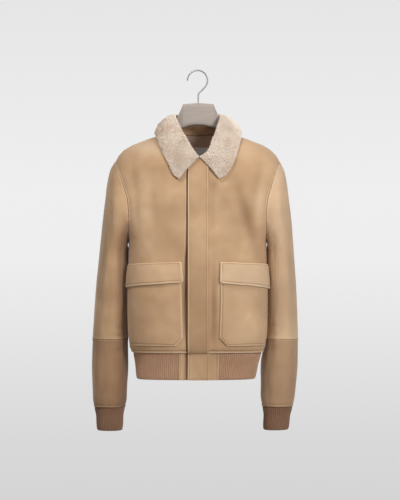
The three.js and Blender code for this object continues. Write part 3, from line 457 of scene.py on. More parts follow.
def suede_material(name, dark, light, warm, worn_and_highlit, groove):
    """Napped suede in five tones: its darker and lighter patches, warmer marks, worn edges with painted
    highlights, and grooves with painted shade.
    """
    material, tree, shader = principled(name, 0.93, Sheen_Weight=0.3, Sheen_Roughness=0.45,
                                        Sheen_Tint=(0.95, 0.88, 0.8, 1), Specular_IOR_Level=0.22)
    nap = tree.nodes.new("ShaderNodeGroup")
    nap.node_tree = suede_nap
    colour = blend(tree, nap.outputs["Patches"], dark, light)
    colour = blend(tree, maths(tree, "MULTIPLY", nap.outputs["Marks"], 0.30), colour, warm)
    tone = spread(tree, nap.outputs["Nap"], 0.3, 0.7)
    colour = blend(tree, maths(tree, "MULTIPLY", tone, 0.16), colour, dark)
    # Painted highlights take the worn colour, and painted shade takes the groove colour.
    colour = blend(tree, maths(tree, "MULTIPLY", nap.outputs["Wear and highlight"], 0.75), colour, worn_and_highlit)
    colour = blend(tree, maths(tree, "MULTIPLY", nap.outputs["Groove and shade"], 0.72), colour, groove)
    tree.links.new(colour, shader.inputs["Base Color"])
    bump(tree, shader, nap.outputs["Height"], 0.0007, 0.55)
    return material


suede_nap = nap_group()
suede = suede_material("suede", dark=(0.43, 0.266, 0.142), light=(0.60, 0.392, 0.224),
                       warm=(0.50, 0.280, 0.134), worn_and_highlit=(0.82, 0.63, 0.43), groove=(0.15, 0.073, 0.032))
suede_inside = suede_material("suede_inside", dark=(0.54, 0.36, 0.250), light=(0.66, 0.46, 0.335),
                              warm=(0.60, 0.38, 0.250), worn_and_highlit=(0.68, 0.50, 0.37), groove=(0.30, 0.18, 0.11))
SUEDE_SIDES = (suede, suede_inside)


def dress(piece, node):
    """Hides a frame node and hangs the finished piece that takes its place under the root."""
    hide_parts(node)
    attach(piece, "root")


DEPTH_SHARE = 0.62          # half depth of a level section over its half width


def level_reach(girth):
    """Shares of the half width at even steps of cloth, from the middle of a level section to its side."""
    angle = np.linspace(0, np.pi / 2, 900)
    across = np.sin(angle) ** (2 / SQUARENESS)
    deep = DEPTH_SHARE * np.cos(angle) ** (2 / SQUARENESS)
    length = np.append(0, np.cumsum(np.hypot(np.diff(across), np.diff(deep))))
    return np.interp(steps(girth) * length[-1], length, across)


WELT = 7                    # height of the topstitched welt above the hem seam
SEAM_EDGE = (0.5, 2.2, 1.5)     # swell beside a plain seam, its distance from the seam and its width
LOWER_ROWS = steps(ARMPIT_Z - HEM_SEAM_Z, lines=[WELT])
UPPER_ROWS = np.linspace(0, 1, 84)[1:] ** 0.94


def panel_top(side, inner_x, reach):
    """Height at which each column of a panel ends, at the neckline or the shoulder seam."""
    low, high = np.full(reach.shape, float(ARMPIT_Z)), np.full(reach.shape, -100.0)
    for _ in range(40):
        z = (low + high) / 2
        under = panel_top_z(side, inner_x + (panel_edge_x(z) - inner_x) * reach) > z
        low, high = np.where(under, z, low), np.where(under, high, z)
    return np.where(reach > 1 - 1e-9, SHOULDER_TIP_Z, low)


def panel_grid(side, hand, inner_x, reach):
    """Points of a body panel: rows up from the hem seam, columns from its inner edge to its side."""
    top = panel_top(side, inner_x, reach)
    lower = HEM_SEAM_Z + SEAM / 2 + (ARMPIT_Z - HEM_SEAM_Z - SEAM / 2) * LOWER_ROWS[:, None]
    z = np.concatenate([np.repeat(lower, len(reach), axis=1),
                        ARMPIT_Z + (top - ARMPIT_Z) * UPPER_ROWS[:, None]])
    x = hand * (inner_x + (panel_edge_x(z) - inner_x) * reach)
    return np.stack([x, torso_y(side, x, z) + side * SEAM / 2, z], -1)


def panel_relief(side, grid, girth_edges):
    """Turned edges along the seams, the welt above the hem seam, and the puckers beside both."""
    below, above, first, last = edge_distances(grid)
    seam = np.minimum.reduce([below, above, *[(first, last)[n] for n in girth_edges]])
    pucker = 0.35 * np.sin(grid[..., 0] / 2.1) * fade(below - WELT, 6)
    side_pucker = 0.3 * np.sin(grid[..., 2] / 2.3) * fade(seam - 4, 5) * (below > 20)
    raised = 1.5 * fade(below - WELT / 2, 2.6) + 0.8 * fade(below - 2.2 * WELT, 4)
    groove = sewn_line(below - WELT, 1.3)
    relief = (raised + pucker + side_pucker - groove + turned_edge(seam, *SEAM_EDGE, radius=0.8)
              - 0.7 * fade(seam - 5.5, 2))
    x, z = grid[..., 0], grid[..., 2]
    # The marks paint highlights on the welt and beside the seams, darken the stitched grooves, and add the
    # painted light and shade of the listed places and the painted shade of the folds.
    marks = (0.5 * fade(below - WELT / 2, 2) - 0.7 * fade(below - WELT, 1.1)
             + 0.55 * fade(seam - 2, 1.2) - 0.8 * np.exp(-seam / 0.5)
             + over_places(PAINTED_LIGHT_AND_SHADE, side, x, z) - FOLD_PAINTED_SHADE * over_places(BODY_FOLDS, side, x, z))
    return relief, np.clip(marks, -1, 1)


back_reach = level_reach(265)
back_halves = [panel_grid(BACK, hand, 0, back_reach) for hand in (-1, 1)]
back_grid = np.concatenate([back_halves[0][:, ::-1], back_halves[1][:, 1:]], axis=1)
back_relief, back_marks = panel_relief(BACK, back_grid, (0, 1))
back, _ = shell("back_panel", back_grid, (0, 0), SUEDE_SIDES, relief=back_relief, marks=back_marks)
dress(back, "back")

# Fronts: two hides of the same suede. The right one runs on to a cut edge under the fly, and a
# narrow gap opens between its fold and the fly's. The left one carries the fly.
FLY_EDGE_X, FLY_STITCH_X, FLY_RIDGE_X = -23.5, 22.0, 27.5
FRONT_START_X = {"right": -7, "left": 8.5}
HANDS = {"right": -1, "left": 1}
FRONT_GAP_X = -26.0         # where the right front turns in towards the fly
GAP_UNDER_FLY = 8.0         # how far the gap goes on under the fly
ARMPIT_HALF_WIDTH = 172
front_gap = table("z depth half", [
    (-702, 6, 1.6), (-660, 8, 3.6), (-600, 11, 4.8), (-530, 14, 5.0), (-485, 14, 4.2), (-440, 8, 2.0),
    (-330, 5, 1.1), (-232, 4, 1.1)])

for hand_name, hand in HANDS.items():
    reach = level_reach(262)
    if hand_name == "right":
        start = FRONT_START_X["right"]
        places = np.array([FRONT_GAP_X + d for d in np.arange(-8, 12.1, 0.9)])
        near_gap = (-places - start) / (ARMPIT_HALF_WIDTH - start)
        reach = np.unique(np.round(np.concatenate([reach, near_gap]), 5))
    grid = panel_grid(FRONT, hand, FRONT_START_X[hand_name], reach)
    relief, marks = panel_relief(FRONT, grid, (1,))
    if hand_name == "right":
        off = grid[..., 0] - FRONT_GAP_X
        z = grid[..., 2]
        half = front_gap["half"](z)
        gap = 0.5 * (np.tanh((off + half) / (0.9 * half)) - np.tanh((off - GAP_UNDER_FLY) / 2))
        grid[..., 1] += front_gap["depth"](z) * gap
        lip = fade(off + 2.2 * half + 1.2, 1.4) * np.clip((z + 540) / 60, 0, 1)
        relief = relief + 0.4 * lip
        # Painted shade darkens the gap, and a faint painted highlight lies along the lip beside it.
        marks = np.clip(marks - 1.1 * gap ** 3 + 0.15 * lip, -1, 1)
    piece, _ = shell(f"front_panel_{hand_name}", grid, (0, 0), SUEDE_SIDES, relief=relief, marks=marks)
    dress(piece, f"front_{hand_name}")


# Fly: a strip of suede folded at one edge, laid over the place where the fronts meet and
# topstitched along both sides. What lies on the body is placed by the section's angle and by height.
def on_body(side, x, z, height, width=torso["width"], surface=torso_y):
    """Points at a height above the torso or the hem, and the ways out of it there."""
    x, z, height = np.broadcast_arrays(x, z, height)
    angle = np.arcsin(signed_power(np.clip(x / width(z), -1, 1), SQUARENESS / 2))

    def place(a, level):
        at_x = width(level) * signed_power(np.sin(a), 2 / SQUARENESS)
        return np.stack([at_x, surface(side, at_x, level), level], -1)
    small = 0.01
    normal = np.cross(place(angle + small, z) - place(angle - small, z),
                      place(angle, z + 1) - place(angle, z - 1))
    normal /= np.linalg.norm(normal, axis=-1, keepdims=True)
    normal *= np.sign(normal[..., 1:2] * side)
    return place(angle, z) + normal * height[..., None]


def on_grid(surface, rows, columns, row, column):
    """Points of a grid between its own, at shares of its rows and columns."""
    i, j = np.interp(row, rows, np.arange(len(rows))), np.interp(column, columns, np.arange(len(columns)))
    low_i, low_j = np.minimum(i.astype(int), len(rows) - 2), np.minimum(j.astype(int), len(columns) - 2)
    s, t = (i - low_i)[:, None], (j - low_j)[:, None]
    return ((1 - s) * ((1 - t) * surface[low_i, low_j] + t * surface[low_i, low_j + 1])
            + s * ((1 - t) * surface[low_i + 1, low_j] + t * surface[low_i + 1, low_j + 1]))


stitch_lines = []           # every topstitched line, as points in millimetres


def stitch_along(surface, rows, columns, corners):
    """Adds a topstitched line through corners, which are shares of a grid's rows and columns."""
    corners = np.array(corners, float)
    ends = np.arange(len(corners))
    fine = np.unique(np.concatenate([np.linspace(0, ends[-1], 60 * ends[-1] + 1), ends]))
    row, column = (np.interp(fine, ends, corners[:, k]) for k in (0, 1))
    stitch_lines.append(on_grid(surface, rows, columns, row, column))


FLY = 3                     # thickness of the strip
LAY = 0.4                   # space between a panel and what lies on it
FLY_TOP_RISE = 9            # how far it runs up under the collar
fly_width = FLY_RIDGE_X - FLY_EDGE_X
fly_lines = [4.5, FLY_STITCH_X - FLY_EDGE_X]
fly_columns = steps(fly_width, 2.6, fly_lines)
fly_rows = steps(470, CELL)
fly_x = FLY_EDGE_X + fly_width * fly_columns
fly_top = panel_top_z(FRONT, fly_x) - LAY
fly_z = HEM_SEAM_Z + 2 + (fly_top + FLY_TOP_RISE - HEM_SEAM_Z - 2) * fly_rows[:, None]
fly_height = LAY + FLY + SEAM / 2 + 0.4 + 0.35 * np.sin(fly_z / 31 + 1) * np.cos(fly_z / 17)
fly_grid = on_body(FRONT, fly_x[None, :], fly_z, fly_height)
across = fly_width * fly_columns[None, :]
ridge = fade(across - (fly_lines[1] + fly_width) / 2, 1.9)
fly_relief = (0.7 * ridge - rounded(across, 2.2) - rounded(fly_width - across, 1.8)
              - sewn_line(across - fly_lines[1], 0.6) - sewn_line(across - fly_lines[0], 0.35)
              + 0.25 * np.sin(fly_z / 2.2) * fade(across - fly_lines[1], 3))
# The marks paint highlights along the folded edge and the ridge, and darken the stitch lines, the lower end
# and the foot.
fly_marks = (1.0 * fade(across, 2.6) + 0.3 * ridge - 0.08 - 0.26 * np.clip((-450 - fly_z) / 60, 0, 1)
             - 0.4 * fade(across - fly_lines[1], 1.0) - 0.2 * fade(across - fly_lines[0], 1.0)
             - 0.3 * fade(fly_z + 700, 3))
fly_strip, fly_surface = shell("fly_strip_folded", fly_grid, (0, 0), SUEDE_SIDES, thick=FLY,
                               relief=fly_relief, marks=np.clip(fly_marks, -1, 1))
dress(fly_strip, "fly_strip")
for line in fly_lines:
    stitch_along(fly_surface, fly_rows, fly_columns, [(0.004, line / fly_width), (0.99, line / fly_width)])

# Hem tabs: suede ends of the hem band. The left one carries the fly's fold down to the hem and laps
# over the right one. Each is turned at its lower edge and topstitched beside its seams.
hem = table("z width front back", [(-769, 148.5, 80, 60), (-728, 154.5, 84, 64), (-702, 161, 88.5, 68.5)])
TAB_SEAM_X = {"right": -45.0, "left": 53.5}
TAB_LINE = 3.2              # from the lower edge to its row of stitches
HEM_END_Z = -769
HEM_ASKEW = 4.0             # how far its lower edge hangs to the side, in the middle of each half


def hem_y(side, x, z):
    """Depth of the hem's section at a place across."""
    reach = np.minimum(np.abs(x) / hem["width"](z), 1)
    depth = np.where(np.asarray(side) < 0, hem["front"](z), hem["back"](z))
    return side * depth * (1 - reach ** SQUARENESS) ** (1 / SQUARENESS)


def hung_askew(grid):
    """Moves the hem's lower edge a little towards the right hand, where the jacket hangs lower."""
    moved = grid.copy()
    down = np.clip((HEM_SEAM_Z - grid[..., 2]) / (HEM_SEAM_Z - HEM_END_Z), 0, 1)
    moved[..., 0] -= HEM_ASKEW * down * np.abs(grid[..., 0]) / 150
    return moved


tab_height = HEM_SEAM_Z - SEAM / 2 - HEM_END_Z
tab_rows = steps(tab_height, 3, [TAB_LINE])
TAB_SPANS = {
    # hand: first and last x, sewn lines from the first edge, height of the outside by x
    "right": (TAB_SEAM_X["right"] + SEAM / 2, 6.0, [3.0],
              ((-45, 0), (-34, 0), (-30, -1), (-27, -5), (7, -5))),
    "left": (FLY_EDGE_X, TAB_SEAM_X["left"] - SEAM / 2, [4.5, FLY_RIDGE_X - FLY_EDGE_X - 1, 73.5],
             ((-24, 3.4), (22, 3.4), (25, 3.6), (29, 1.0), (33, 0.2), (54, 0.0))),
}
for hand_name, (first_x, last_x, lines, heights) in TAB_SPANS.items():
    width = last_x - first_x
    columns = steps(width, 2.6, lines)
    x = first_x + width * columns[None, :]
    z = HEM_END_Z + tab_height * tab_rows[:, None]
    height = np.interp(x, *np.array(heights, float).T)
    grid = hung_askew(on_body(FRONT, x, z, height, hem["width"], hem_y))
    below, above, first, last = edge_distances(grid)
    edges = np.minimum.reduce([below, above, first, last])
    relief = -rounded(edges, 1.5) - sewn_line(below - TAB_LINE, 0.6) + 0.3 * np.sin(x / 5 + z / 9)
    # The marks paint highlights along the edges and beside each seam, and darken the stitch lines.
    marks = (0.6 * np.exp(-below / 1.6) + 0.7 * np.exp(-first / 2.2) + 0.3 * np.exp(-last / 1.5)
             - 0.5 * fade(below - TAB_LINE, 1.0) - 0.12)
    if hand_name == "right":
        marks = marks - 0.8 * fade(x - FLY_EDGE_X + 4, 5)      # the shade under the fly's fold
    for line in lines:
        relief = relief - sewn_line(first - line, 0.7)
        marks = marks - 0.6 * fade(first - line, 1.0) + 0.35 * fade(first - line - 2.4, 1.1)
    piece, surface = shell(f"hem_tab_end_{hand_name}", grid, (0, 0), SUEDE_SIDES, relief=relief,
                           marks=np.clip(marks, -1, 1))
    dress(piece, f"hem_tab_{hand_name}")
    stitch_along(surface, tab_rows, columns, [(TAB_LINE / tab_height, 0.03), (TAB_LINE / tab_height, 0.97)])
    for line in lines:
        stitch_along(surface, tab_rows, columns, [(0.06, line / width), (0.95, line / width)])

# Patch pockets: suede patches with a cut-off lower inner corner, swelling a little over a gusset.
# Their edges are turned in and topstitched all round but at the top, where the flap hangs over.
POCKET_INNER_X = {"right": 38.0, "left": 56.0}
POCKET_FLARE = {"right": 5.0, "left": 4.0}   # how far the inner edge runs towards the fly on its way down
POCKET_OUTER_SHARE = 0.87
POCKET_TOP_Z, POCKET_END_Z = -486, -683
POCKET_CHAMFER, POCKET_CLOTH, POCKET_SWELL = 20, 3, 3.4
POCKET_GUSSET = 1.8         # how far the gusset lifts its edges
EDGE_LINE = 5.2             # from a turned edge to its row of stitches
FAR = 99                    # a distance at which no row of stitches is felt


def across_front(start_x, share, z):
    """X of the place that lies a share of the way round from a front's start to its side seam."""
    reach = np.sin(np.pi / 2 * share) ** (2 / SQUARENESS)
    return start_x + (torso["width"](z) - start_x) * reach


def share_at(start_x, x):
    """Share of the way round from a front's start at which a place across lies."""
    span = torso["width"](POCKET_TOP_Z) - start_x
    return math.asin(((x - start_x) / span) ** (SQUARENESS / 2)) / (math.pi / 2)


# Painted light on each pocket: lighter on the one on the viewer's right.
POCKET_PAINTED_LIGHT = {"right": -0.05, "left": 0.12}
POCKET_DENTS = {
    # hand: place across and down, reach of each and depth of the soft dents in the patch
    "right": [(0.35, 0.24, 0.22, 0.08, 1.6), (0.62, 0.5, 0.12, 0.3, 1.2), (0.2, 0.72, 0.2, 0.1, 1.2)],
    "left": [(0.5, 0.3, 0.3, 0.07, 1.6), (0.28, 0.62, 0.1, 0.3, 1.3), (0.75, 0.68, 0.16, 0.1, 1.2)],
}
for hand_name, hand in HANDS.items():
    start = FRONT_START_X[hand_name]
    inner = share_at(start, POCKET_INNER_X[hand_name])
    wide, high = 142.0, float(POCKET_TOP_Z - POCKET_END_Z)
    columns = steps(wide, 3, [EDGE_LINE, wide - EDGE_LINE])
    rows = steps(high, 3, [EDGE_LINE])
    u, v = columns[None, :], (1 - rows)[:, None]
    z = POCKET_TOP_Z + (POCKET_END_Z - POCKET_TOP_Z) * v
    cut = np.maximum(0, POCKET_END_Z + POCKET_CHAMFER - z)
    x = (across_front(start, inner + u * (POCKET_OUTER_SHARE - inner), z)
         + (POCKET_FLARE[hand_name] * (0.5 - v) + cut) * (1 - u) ** 3 - cut * 0.3 * u ** 3)
    swell = POCKET_SWELL * np.sin(np.pi * u) ** 0.6 * np.maximum(np.sin(np.pi * v), 0) ** 0.6
    for du, dv, wide_u, wide_v, depth in POCKET_DENTS[hand_name]:
        swell = swell - depth * fade(u - du, wide_u) * fade(v - dv, wide_v) * np.sin(np.pi * u)
    height = LAY + POCKET_CLOTH + POCKET_GUSSET * (1 - u ** 3) + np.maximum(swell, 0)
    grid = on_body(FRONT, hand * x, z, height)
    below, _, first, last = edge_distances(grid)
    edge = np.minimum.reduce([below, first, last])
    past_sides = FAR * (first < EDGE_LINE - 1) + FAR * (last < EDGE_LINE - 1)
    past_foot = FAR * (below < EDGE_LINE - 1)
    line = np.minimum.reduce([np.abs(below - EDGE_LINE) + past_sides,
                              np.abs(first - EDGE_LINE) + past_foot, np.abs(last - EDGE_LINE) + past_foot])
    relief = (turned_edge(edge, 0.45, radius=2.0) - sewn_line(line, 0.9)
              + 0.25 * np.sin((grid[..., 0] + grid[..., 2]) / 2.4) * fade(edge - EDGE_LINE, 4))
    # The marks paint highlights along the edges and darken the stitch line.
    marks = 0.95 * fade(edge, 2.6) - 0.7 * fade(line, 1.0) + POCKET_PAINTED_LIGHT[hand_name]
    piece, surface = shell(f"patch_pocket_{hand_name}", grid, (0, 0), SUEDE_SIDES,
                           thick=POCKET_CLOTH + POCKET_GUSSET, under=POCKET_GUSSET * u ** 3, relief=relief,
                           marks=np.clip(marks, -1, 1))
    dress(piece, f"pocket_{hand_name}")
    inset_u, inset_v = EDGE_LINE / wide, EDGE_LINE / high
    stitch_along(surface, rows, columns, [(0.97, inset_u), (inset_v, inset_u), (inset_v, 1 - inset_u),
                                          (0.97, 1 - inset_u)])

# Pocket flaps: two layers of suede sewn along their top, standing off the pocket towards their free
# edge, with turned edges topstitched all round.
FLAP_OUTER_SHARE = {"right": 0.845, "left": 0.90}
FLAP_INNER_X = {"right": 37.0, "left": 55.5}
FLAP_FLARE = {"right": 6.0, "left": 0.0}
FLAP_TOP_Z = {"right": (-476, -482), "left": (-476, -482)}      # at the inner and the outer end
FLAP_END_Z = {"right": (-527, -540), "left": (-529, -544)}
FLAP_CLOSE, FLAP_CORNER = 0.82, 5.0
FLAP_PAINTED_LIGHT = {"right": 0.12, "left": 0.4}         # painted light, lighter than on the pockets
flap_under = table("down under", [
    (0, 0.6), (0.06, 4.4), (0.3, 7.2), (0.6, 9.2), (0.93, 10.6), (1, 10.8)])["under"]
for hand_name, hand in HANDS.items():
    start = FRONT_START_X[hand_name]
    inner = share_at(start, FLAP_INNER_X[hand_name])
    wide, high = 146.0, 55.0
    columns = steps(wide, 2.8, [EDGE_LINE, wide - EDGE_LINE])
    rows = steps(high, 2.8, [EDGE_LINE, high - EDGE_LINE])
    u, down = columns[None, :], (1 - rows)[:, None]
    top, end = (inner_z + (outer_z - inner_z) * u
                for inner_z, outer_z in (FLAP_TOP_Z[hand_name], FLAP_END_Z[hand_name]))
    end = end + FLAP_CORNER * np.clip(1 - u * wide / FLAP_CORNER, 0, 1) ** 2
    z = top + (end - top) * down
    x = (across_front(start, inner + u * (FLAP_OUTER_SHARE[hand_name] - inner), z)
         + FLAP_FLARE[hand_name] * (0.5 - down) * (1 - u) ** 3)
    wave = 0.5 * np.sin(u * 9 + hand) * down + 0.6 * fade(u - 1, 0.06) * down ** 3
    under = flap_under(down) * FLAP_CLOSE * (1 - 0.4 * u ** 4) * (1 - 0.22 * fade(u, 0.1))
    grid = on_body(FRONT, hand * x, z, under + POCKET_CLOTH + wave)
    below, above, first, last = edge_distances(grid)
    edge = np.minimum.reduce([below, above, first, last])
    relief = (turned_edge(edge) - sewn_line(edge - EDGE_LINE, 0.85)
              + 0.25 * np.sin((grid[..., 0] - grid[..., 2]) / 2.3) * fade(edge - EDGE_LINE, 3.5))
    # The marks paint highlights along the edges and darken the stitch line.
    marks = 0.9 * fade(edge, 2.4) - 0.6 * fade(edge - EDGE_LINE, 1.0) + FLAP_PAINTED_LIGHT[hand_name]
    piece, surface = shell(f"pocket_flap_{hand_name}", grid, (0, 0), (suede, suede), thick=POCKET_CLOTH,
                           relief=relief, marks=np.clip(marks, -1, 1))
    dress(piece, f"flap_{hand_name}")
    inset_u, inset_v = EDGE_LINE / wide, EDGE_LINE / high
    stitch_along(surface, rows, columns, [(inset_v, inset_u), (inset_v, 1 - inset_u),
                                          (1 - inset_v, 1 - inset_u), (1 - inset_v, inset_u),
                                          (inset_v, inset_u)])

# Sleeves: a wide top piece and a narrow under piece down to a seam at the elbow, and the same two
# below it, gathered a little into the cuff. Angles run from the outer line (0) by the front (90).
SLEEVE_NAMES = "outer_z outer_x inner_x inner_z half_depth middle_y own"
sleeve_tables = {
    "right": table(SLEEVE_NAMES, [
        (-228, 206, 172, -425, 67, -5, 1), (-246, 216.5, 173, -427.5, 70, -4, 0.5),
        (-284, 225.5, 173.6, -431, 71, -2, 0.2), (-330, 231.5, 174.3, -435, 70, 1, 0.06),
        (-384, 238, 175, -441, 68, 4, 0), (-450, 245, 176, -450, 66, 8, 0),
        (-500, 250, 176, -500, 64, 10, 0), (-580, 257, 176, -580, 60, 14, 0),
        (-670, 263, 175, -670, 56, 18, 0), (-750, 264, 174, -750, 54, 20, 0),
        (-815, 263, 176, -815, 51, 20, 0), (-840, 259, 181, -840, 45, 20, 0)]),
    "left": table(SLEEVE_NAMES, [
        (-228, 206, 172, -425, 67, -5, 1), (-250, 216, 173, -427.5, 70, -4, 0.5),
        (-290, 224, 173.6, -431, 71, -2, 0.2), (-334, 230, 174.3, -435, 70, 2, 0.06),
        (-386, 236, 175, -441, 68, 6, 0), (-450, 241, 176, -450, 66, 11, 0),
        (-500, 244.5, 176.5, -500, 64, 16, 0), (-580, 249.5, 175.5, -580, 60, 28, 0),
        (-670, 253, 171.5, -670, 57, 43, 0), (-730, 251.5, 160, -730, 55, 48, 0),
        (-808, 246, 157.5, -808, 51, 48, 0), (-840, 240, 162.5, -840, 45, 47, 0)]),
}
UNDER_SLEEVE = 45           # degrees from the inner line to each seam of the under piece
ELBOW_Z, CUFF_SEAM_Z = -670, -840
# Folds of a sleeve: angle, height of its middle, reach in degrees and millimetres, lean and depth
SLEEVE_FOLDS = {
    "right": [
        (38, -430, 15, 110, 0.03, 1.4), (84, -560, 14, 120, -0.04, 2.0), (122, -470, 12, 55, 0.12, 2.6),
        (66, -350, 10, 60, 0.05, 1.6), (140, -640, 26, 8, 0.2, 2.0), (128, -660, 22, 6, -0.2, 1.4),
        (118, -700, 24, 10, 0.3, 2.0), (70, -752, 14, 50, 0.06, 2.2), (24, -790, 14, 36, -0.05, 1.6),
        (108, -806, 18, 14, 0.2, 2.0), (-50, -520, 16, 120, 0.03, 3.0), (-100, -450, 14, 70, -0.1, 3.0),
        (-80, -650, 30, 9, 0.2, 2.2), (-60, -740, 16, 50, 0.05, 2.2), (-110, -790, 22, 14, 0, 2.0),
        (180, -540, 40, 130, 0, -1.8), (180, -446, 36, 34, 0, -1.6), (180, -375, 34, 42, 0, -1.6),
        (180, -484, 30, 26, 0, -0.8), (180, -790, 30, 30, 0, 1.5),
    ],
    "left": [
        (44, -470, 14, 110, -0.03, 1.6), (92, -590, 14, 100, 0.04, 1.6), (126, -460, 10, 46, 0.1, 1.8),
        (60, -330, 10, 56, 0.04, 1.5), (136, -636, 26, 8, -0.2, 2.0), (120, -655, 24, 7, 0.2, 1.6),
        (124, -694, 26, 9, 0.3, 2.2), (84, -760, 14, 46, -0.06, 2.2), (36, -786, 14, 36, 0.05, 1.8),
        (112, -806, 20, 13, -0.2, 2.0), (-46, -500, 16, 110, -0.03, 3.0),
        (-104, -440, 14, 66, 0.1, 3.0), (-84, -646, 30, 9, -0.2, 2.2), (-56, -750, 16, 46, 0, 2.2),
        (-112, -794, 22, 14, 0, 2.0), (180, -530, 40, 120, 0, -1.8), (180, -446, 36, 34, 0, -1.6),
        (180, -375, 34, 42, 0, -1.6), (180, -484, 30, 26, 0, -0.8), (180, -790, 30, 30, 0, 1.5),
    ],
}
# Painted shade darkens a sleeve where it turns towards the body, and painted light differs on the two
# sleeves.
BODY_PAINTED_SHADE = {"right": 1.3, "left": 0.05}
BODY_SHADE_AT, BODY_SHADE_REACH = 155, 34                # degrees
SLEEVE_PAINTED_LIGHT = {"right": -0.1, "left": 0.3}
# The forearms are a darker suede.
suede_forearm = suede_material(
    "suede_forearm", dark=(0.31, 0.180, 0.095), light=(0.42, 0.252, 0.138), warm=(0.36, 0.190, 0.090),
    worn_and_highlit=(0.60, 0.42, 0.26), groove=(0.15, 0.075, 0.036))
ARMHOLE_MIDDLE = np.array([(206 + 172) / 2, 0, (SHOULDER_TIP_Z + ARMPIT_Z) / 2])


def armhole_points(angle):
    """Points of the armhole's edge on the body, by the angle round the sleeve."""
    z = ARMHOLE_MIDDLE[2] + (SHOULDER_TIP_Z - ARMHOLE_MIDDLE[2]) * np.cos(angle)
    side = np.where(np.sin(angle) > 0, FRONT, BACK)
    x = armhole_x(z)
    return np.stack([x, torso_y(side, x, z), z], -1)


def ring_points(hand_name, heights, angle):
    """Points round a sleeve: a row for each height of its outer line, a column for each angle."""
    columns = {name: curve(heights)[:, None] for name, curve in sleeve_tables[hand_name].items()}
    outer_z = heights[:, None]

    def plain(column, high):
        out, back = np.cos(angle), -np.sin(angle)
        outer, inner = column["outer_x"], column["inner_x"]
        return np.stack([(outer + inner) / 2 + (outer - inner) / 2 * out,
                         column["middle_y"] + column["half_depth"] * back,
                         (high + column["inner_z"]) / 2 + (high - column["inner_z"]) / 2 * out], -1)
    tip = np.array([float(SHOULDER_TIP_Z)])
    first = {name: curve(tip)[:, None] for name, curve in sleeve_tables["right"].items()}
    departure = armhole_points(angle)[None] - plain(first, float(SHOULDER_TIP_Z))
    points = plain(columns, outer_z) + columns["own"][..., None] * departure
    points[..., 0] += (SEAM + 0.1) * columns["own"]
    points[..., 0] *= HANDS[hand_name]
    return points


def degrees_from(middle, degrees):
    """Degrees round the sleeve from a line along it, from -180 to 180."""
    return (degrees - middle + 180) % 360 - 180


SLEEVE_GIRTH = 380
SLEEVE_MIDDLE = (214, 20)   # x and y of an upright line inside it
SLEEVE_LINE = 6.0           # from the cuff's seam to its row of stitches
SEAM_DEGREES = 0.15         # half the space at a seam along the sleeve


def sleeve_piece(node, hand_name, from_degrees, to_degrees, top_z, end_z, flat, area):
    """Cuts, shapes and sews one cloth piece of a sleeve, between two lines along it."""
    columns = steps((to_degrees - from_degrees) / 360 * SLEEVE_GIRTH)
    long = top_z - end_z
    rows = steps(long, CELL, [SLEEVE_LINE] if end_z == CUFF_SEAM_Z else [])
    degrees = from_degrees + SEAM_DEGREES + (to_degrees - from_degrees - 2 * SEAM_DEGREES) * columns
    heights = end_z + SEAM / 2 + (long - SEAM) * rows
    grid = ring_points(hand_name, heights, np.radians(degrees))
    axis = (HANDS[hand_name] * SLEEVE_MIDDLE[0], SLEEVE_MIDDLE[1])
    depth = 0.5 * unevenness(degrees[None, :] * 2.1, heights[:, None] + 90)
    trough = 0
    for middle, middle_z, across_degrees, along, lean, deep in SLEEVE_FOLDS[hand_name]:
        turn = degrees_from(middle + lean * (middle_z - heights[:, None]), degrees[None, :])
        fold = deep * fade(turn, across_degrees) * fade(heights[:, None] - middle_z, along)
        depth, trough = depth - fold, trough + np.maximum(fold, 0)
    growing = np.clip((SHOULDER_TIP_Z - heights[:, None]) / 30, 0, 1)
    grid = grid + outward(grid, axis) * (depth * growing)[..., None]
    below, above, first, last = edge_distances(grid)
    edge = np.minimum.reduce([below, above, first, last])
    puckers = 0.35 * np.sin(np.radians(degrees)[None, :] * 31) * np.exp(-np.minimum(above, below) / 7)
    crosswise = np.minimum(below, above)
    relief = puckers + turned_edge(edge, *SEAM_EDGE, radius=0.7) + 0.5 * fade(crosswise - 2.2, 1.5)
    body_shade = BODY_PAINTED_SHADE[hand_name] * fade(degrees_from(BODY_SHADE_AT, degrees[None, :]), BODY_SHADE_REACH)
    # The marks paint highlights beside the seams, and painted shade in the folds and towards the body.
    marks = (0.55 * fade(edge - 2, 1.2) - 0.7 * np.exp(-edge / 0.5) - FOLD_PAINTED_SHADE * trough
             - body_shade + SLEEVE_PAINTED_LIGHT[hand_name])
    if end_z == CUFF_SEAM_Z:
        relief = relief - sewn_line(below - SLEEVE_LINE, 0.8)
        marks = marks - 0.6 * fade(below - SLEEVE_LINE, 1.1)
    faces = SUEDE_SIDES if end_z == ELBOW_Z else (suede_forearm, suede_inside)
    piece, surface = shell(f"{node}_{hand_name}_cloth", grid, axis, faces, relief=relief,
                           marks=np.clip(marks, -1, 1))
    dress(piece, f"{node}_{hand_name}")
    if end_z == CUFF_SEAM_Z:
        stitch_along(surface, rows, columns, [(SLEEVE_LINE / long, 0.01), (SLEEVE_LINE / long, 0.99)])


SEAM_AT = 180 - UNDER_SLEEVE
SLEEVE_CUTS = [
    # piece, first and last degrees, top, end, width and length, area
    ("sleeve_top", -SEAM_AT, SEAM_AT, SHOULDER_TIP_Z, ELBOW_Z, (0.25, 0.449), 0.091),
    ("sleeve_under", SEAM_AT, 360 - SEAM_AT, SHOULDER_TIP_Z, ELBOW_Z, (0.10, 0.284), 0.024),
    ("forearm_top", -SEAM_AT, SEAM_AT, ELBOW_Z, CUFF_SEAM_Z, (0.232, 0.172), 0.0375),
    ("forearm_under", SEAM_AT, 360 - SEAM_AT, ELBOW_Z, CUFF_SEAM_Z, (0.086, 0.172), 0.014),
]
for hand_name in HANDS:
    for node, *cut in SLEEVE_CUTS:
        sleeve_piece(node, hand_name, *cut)

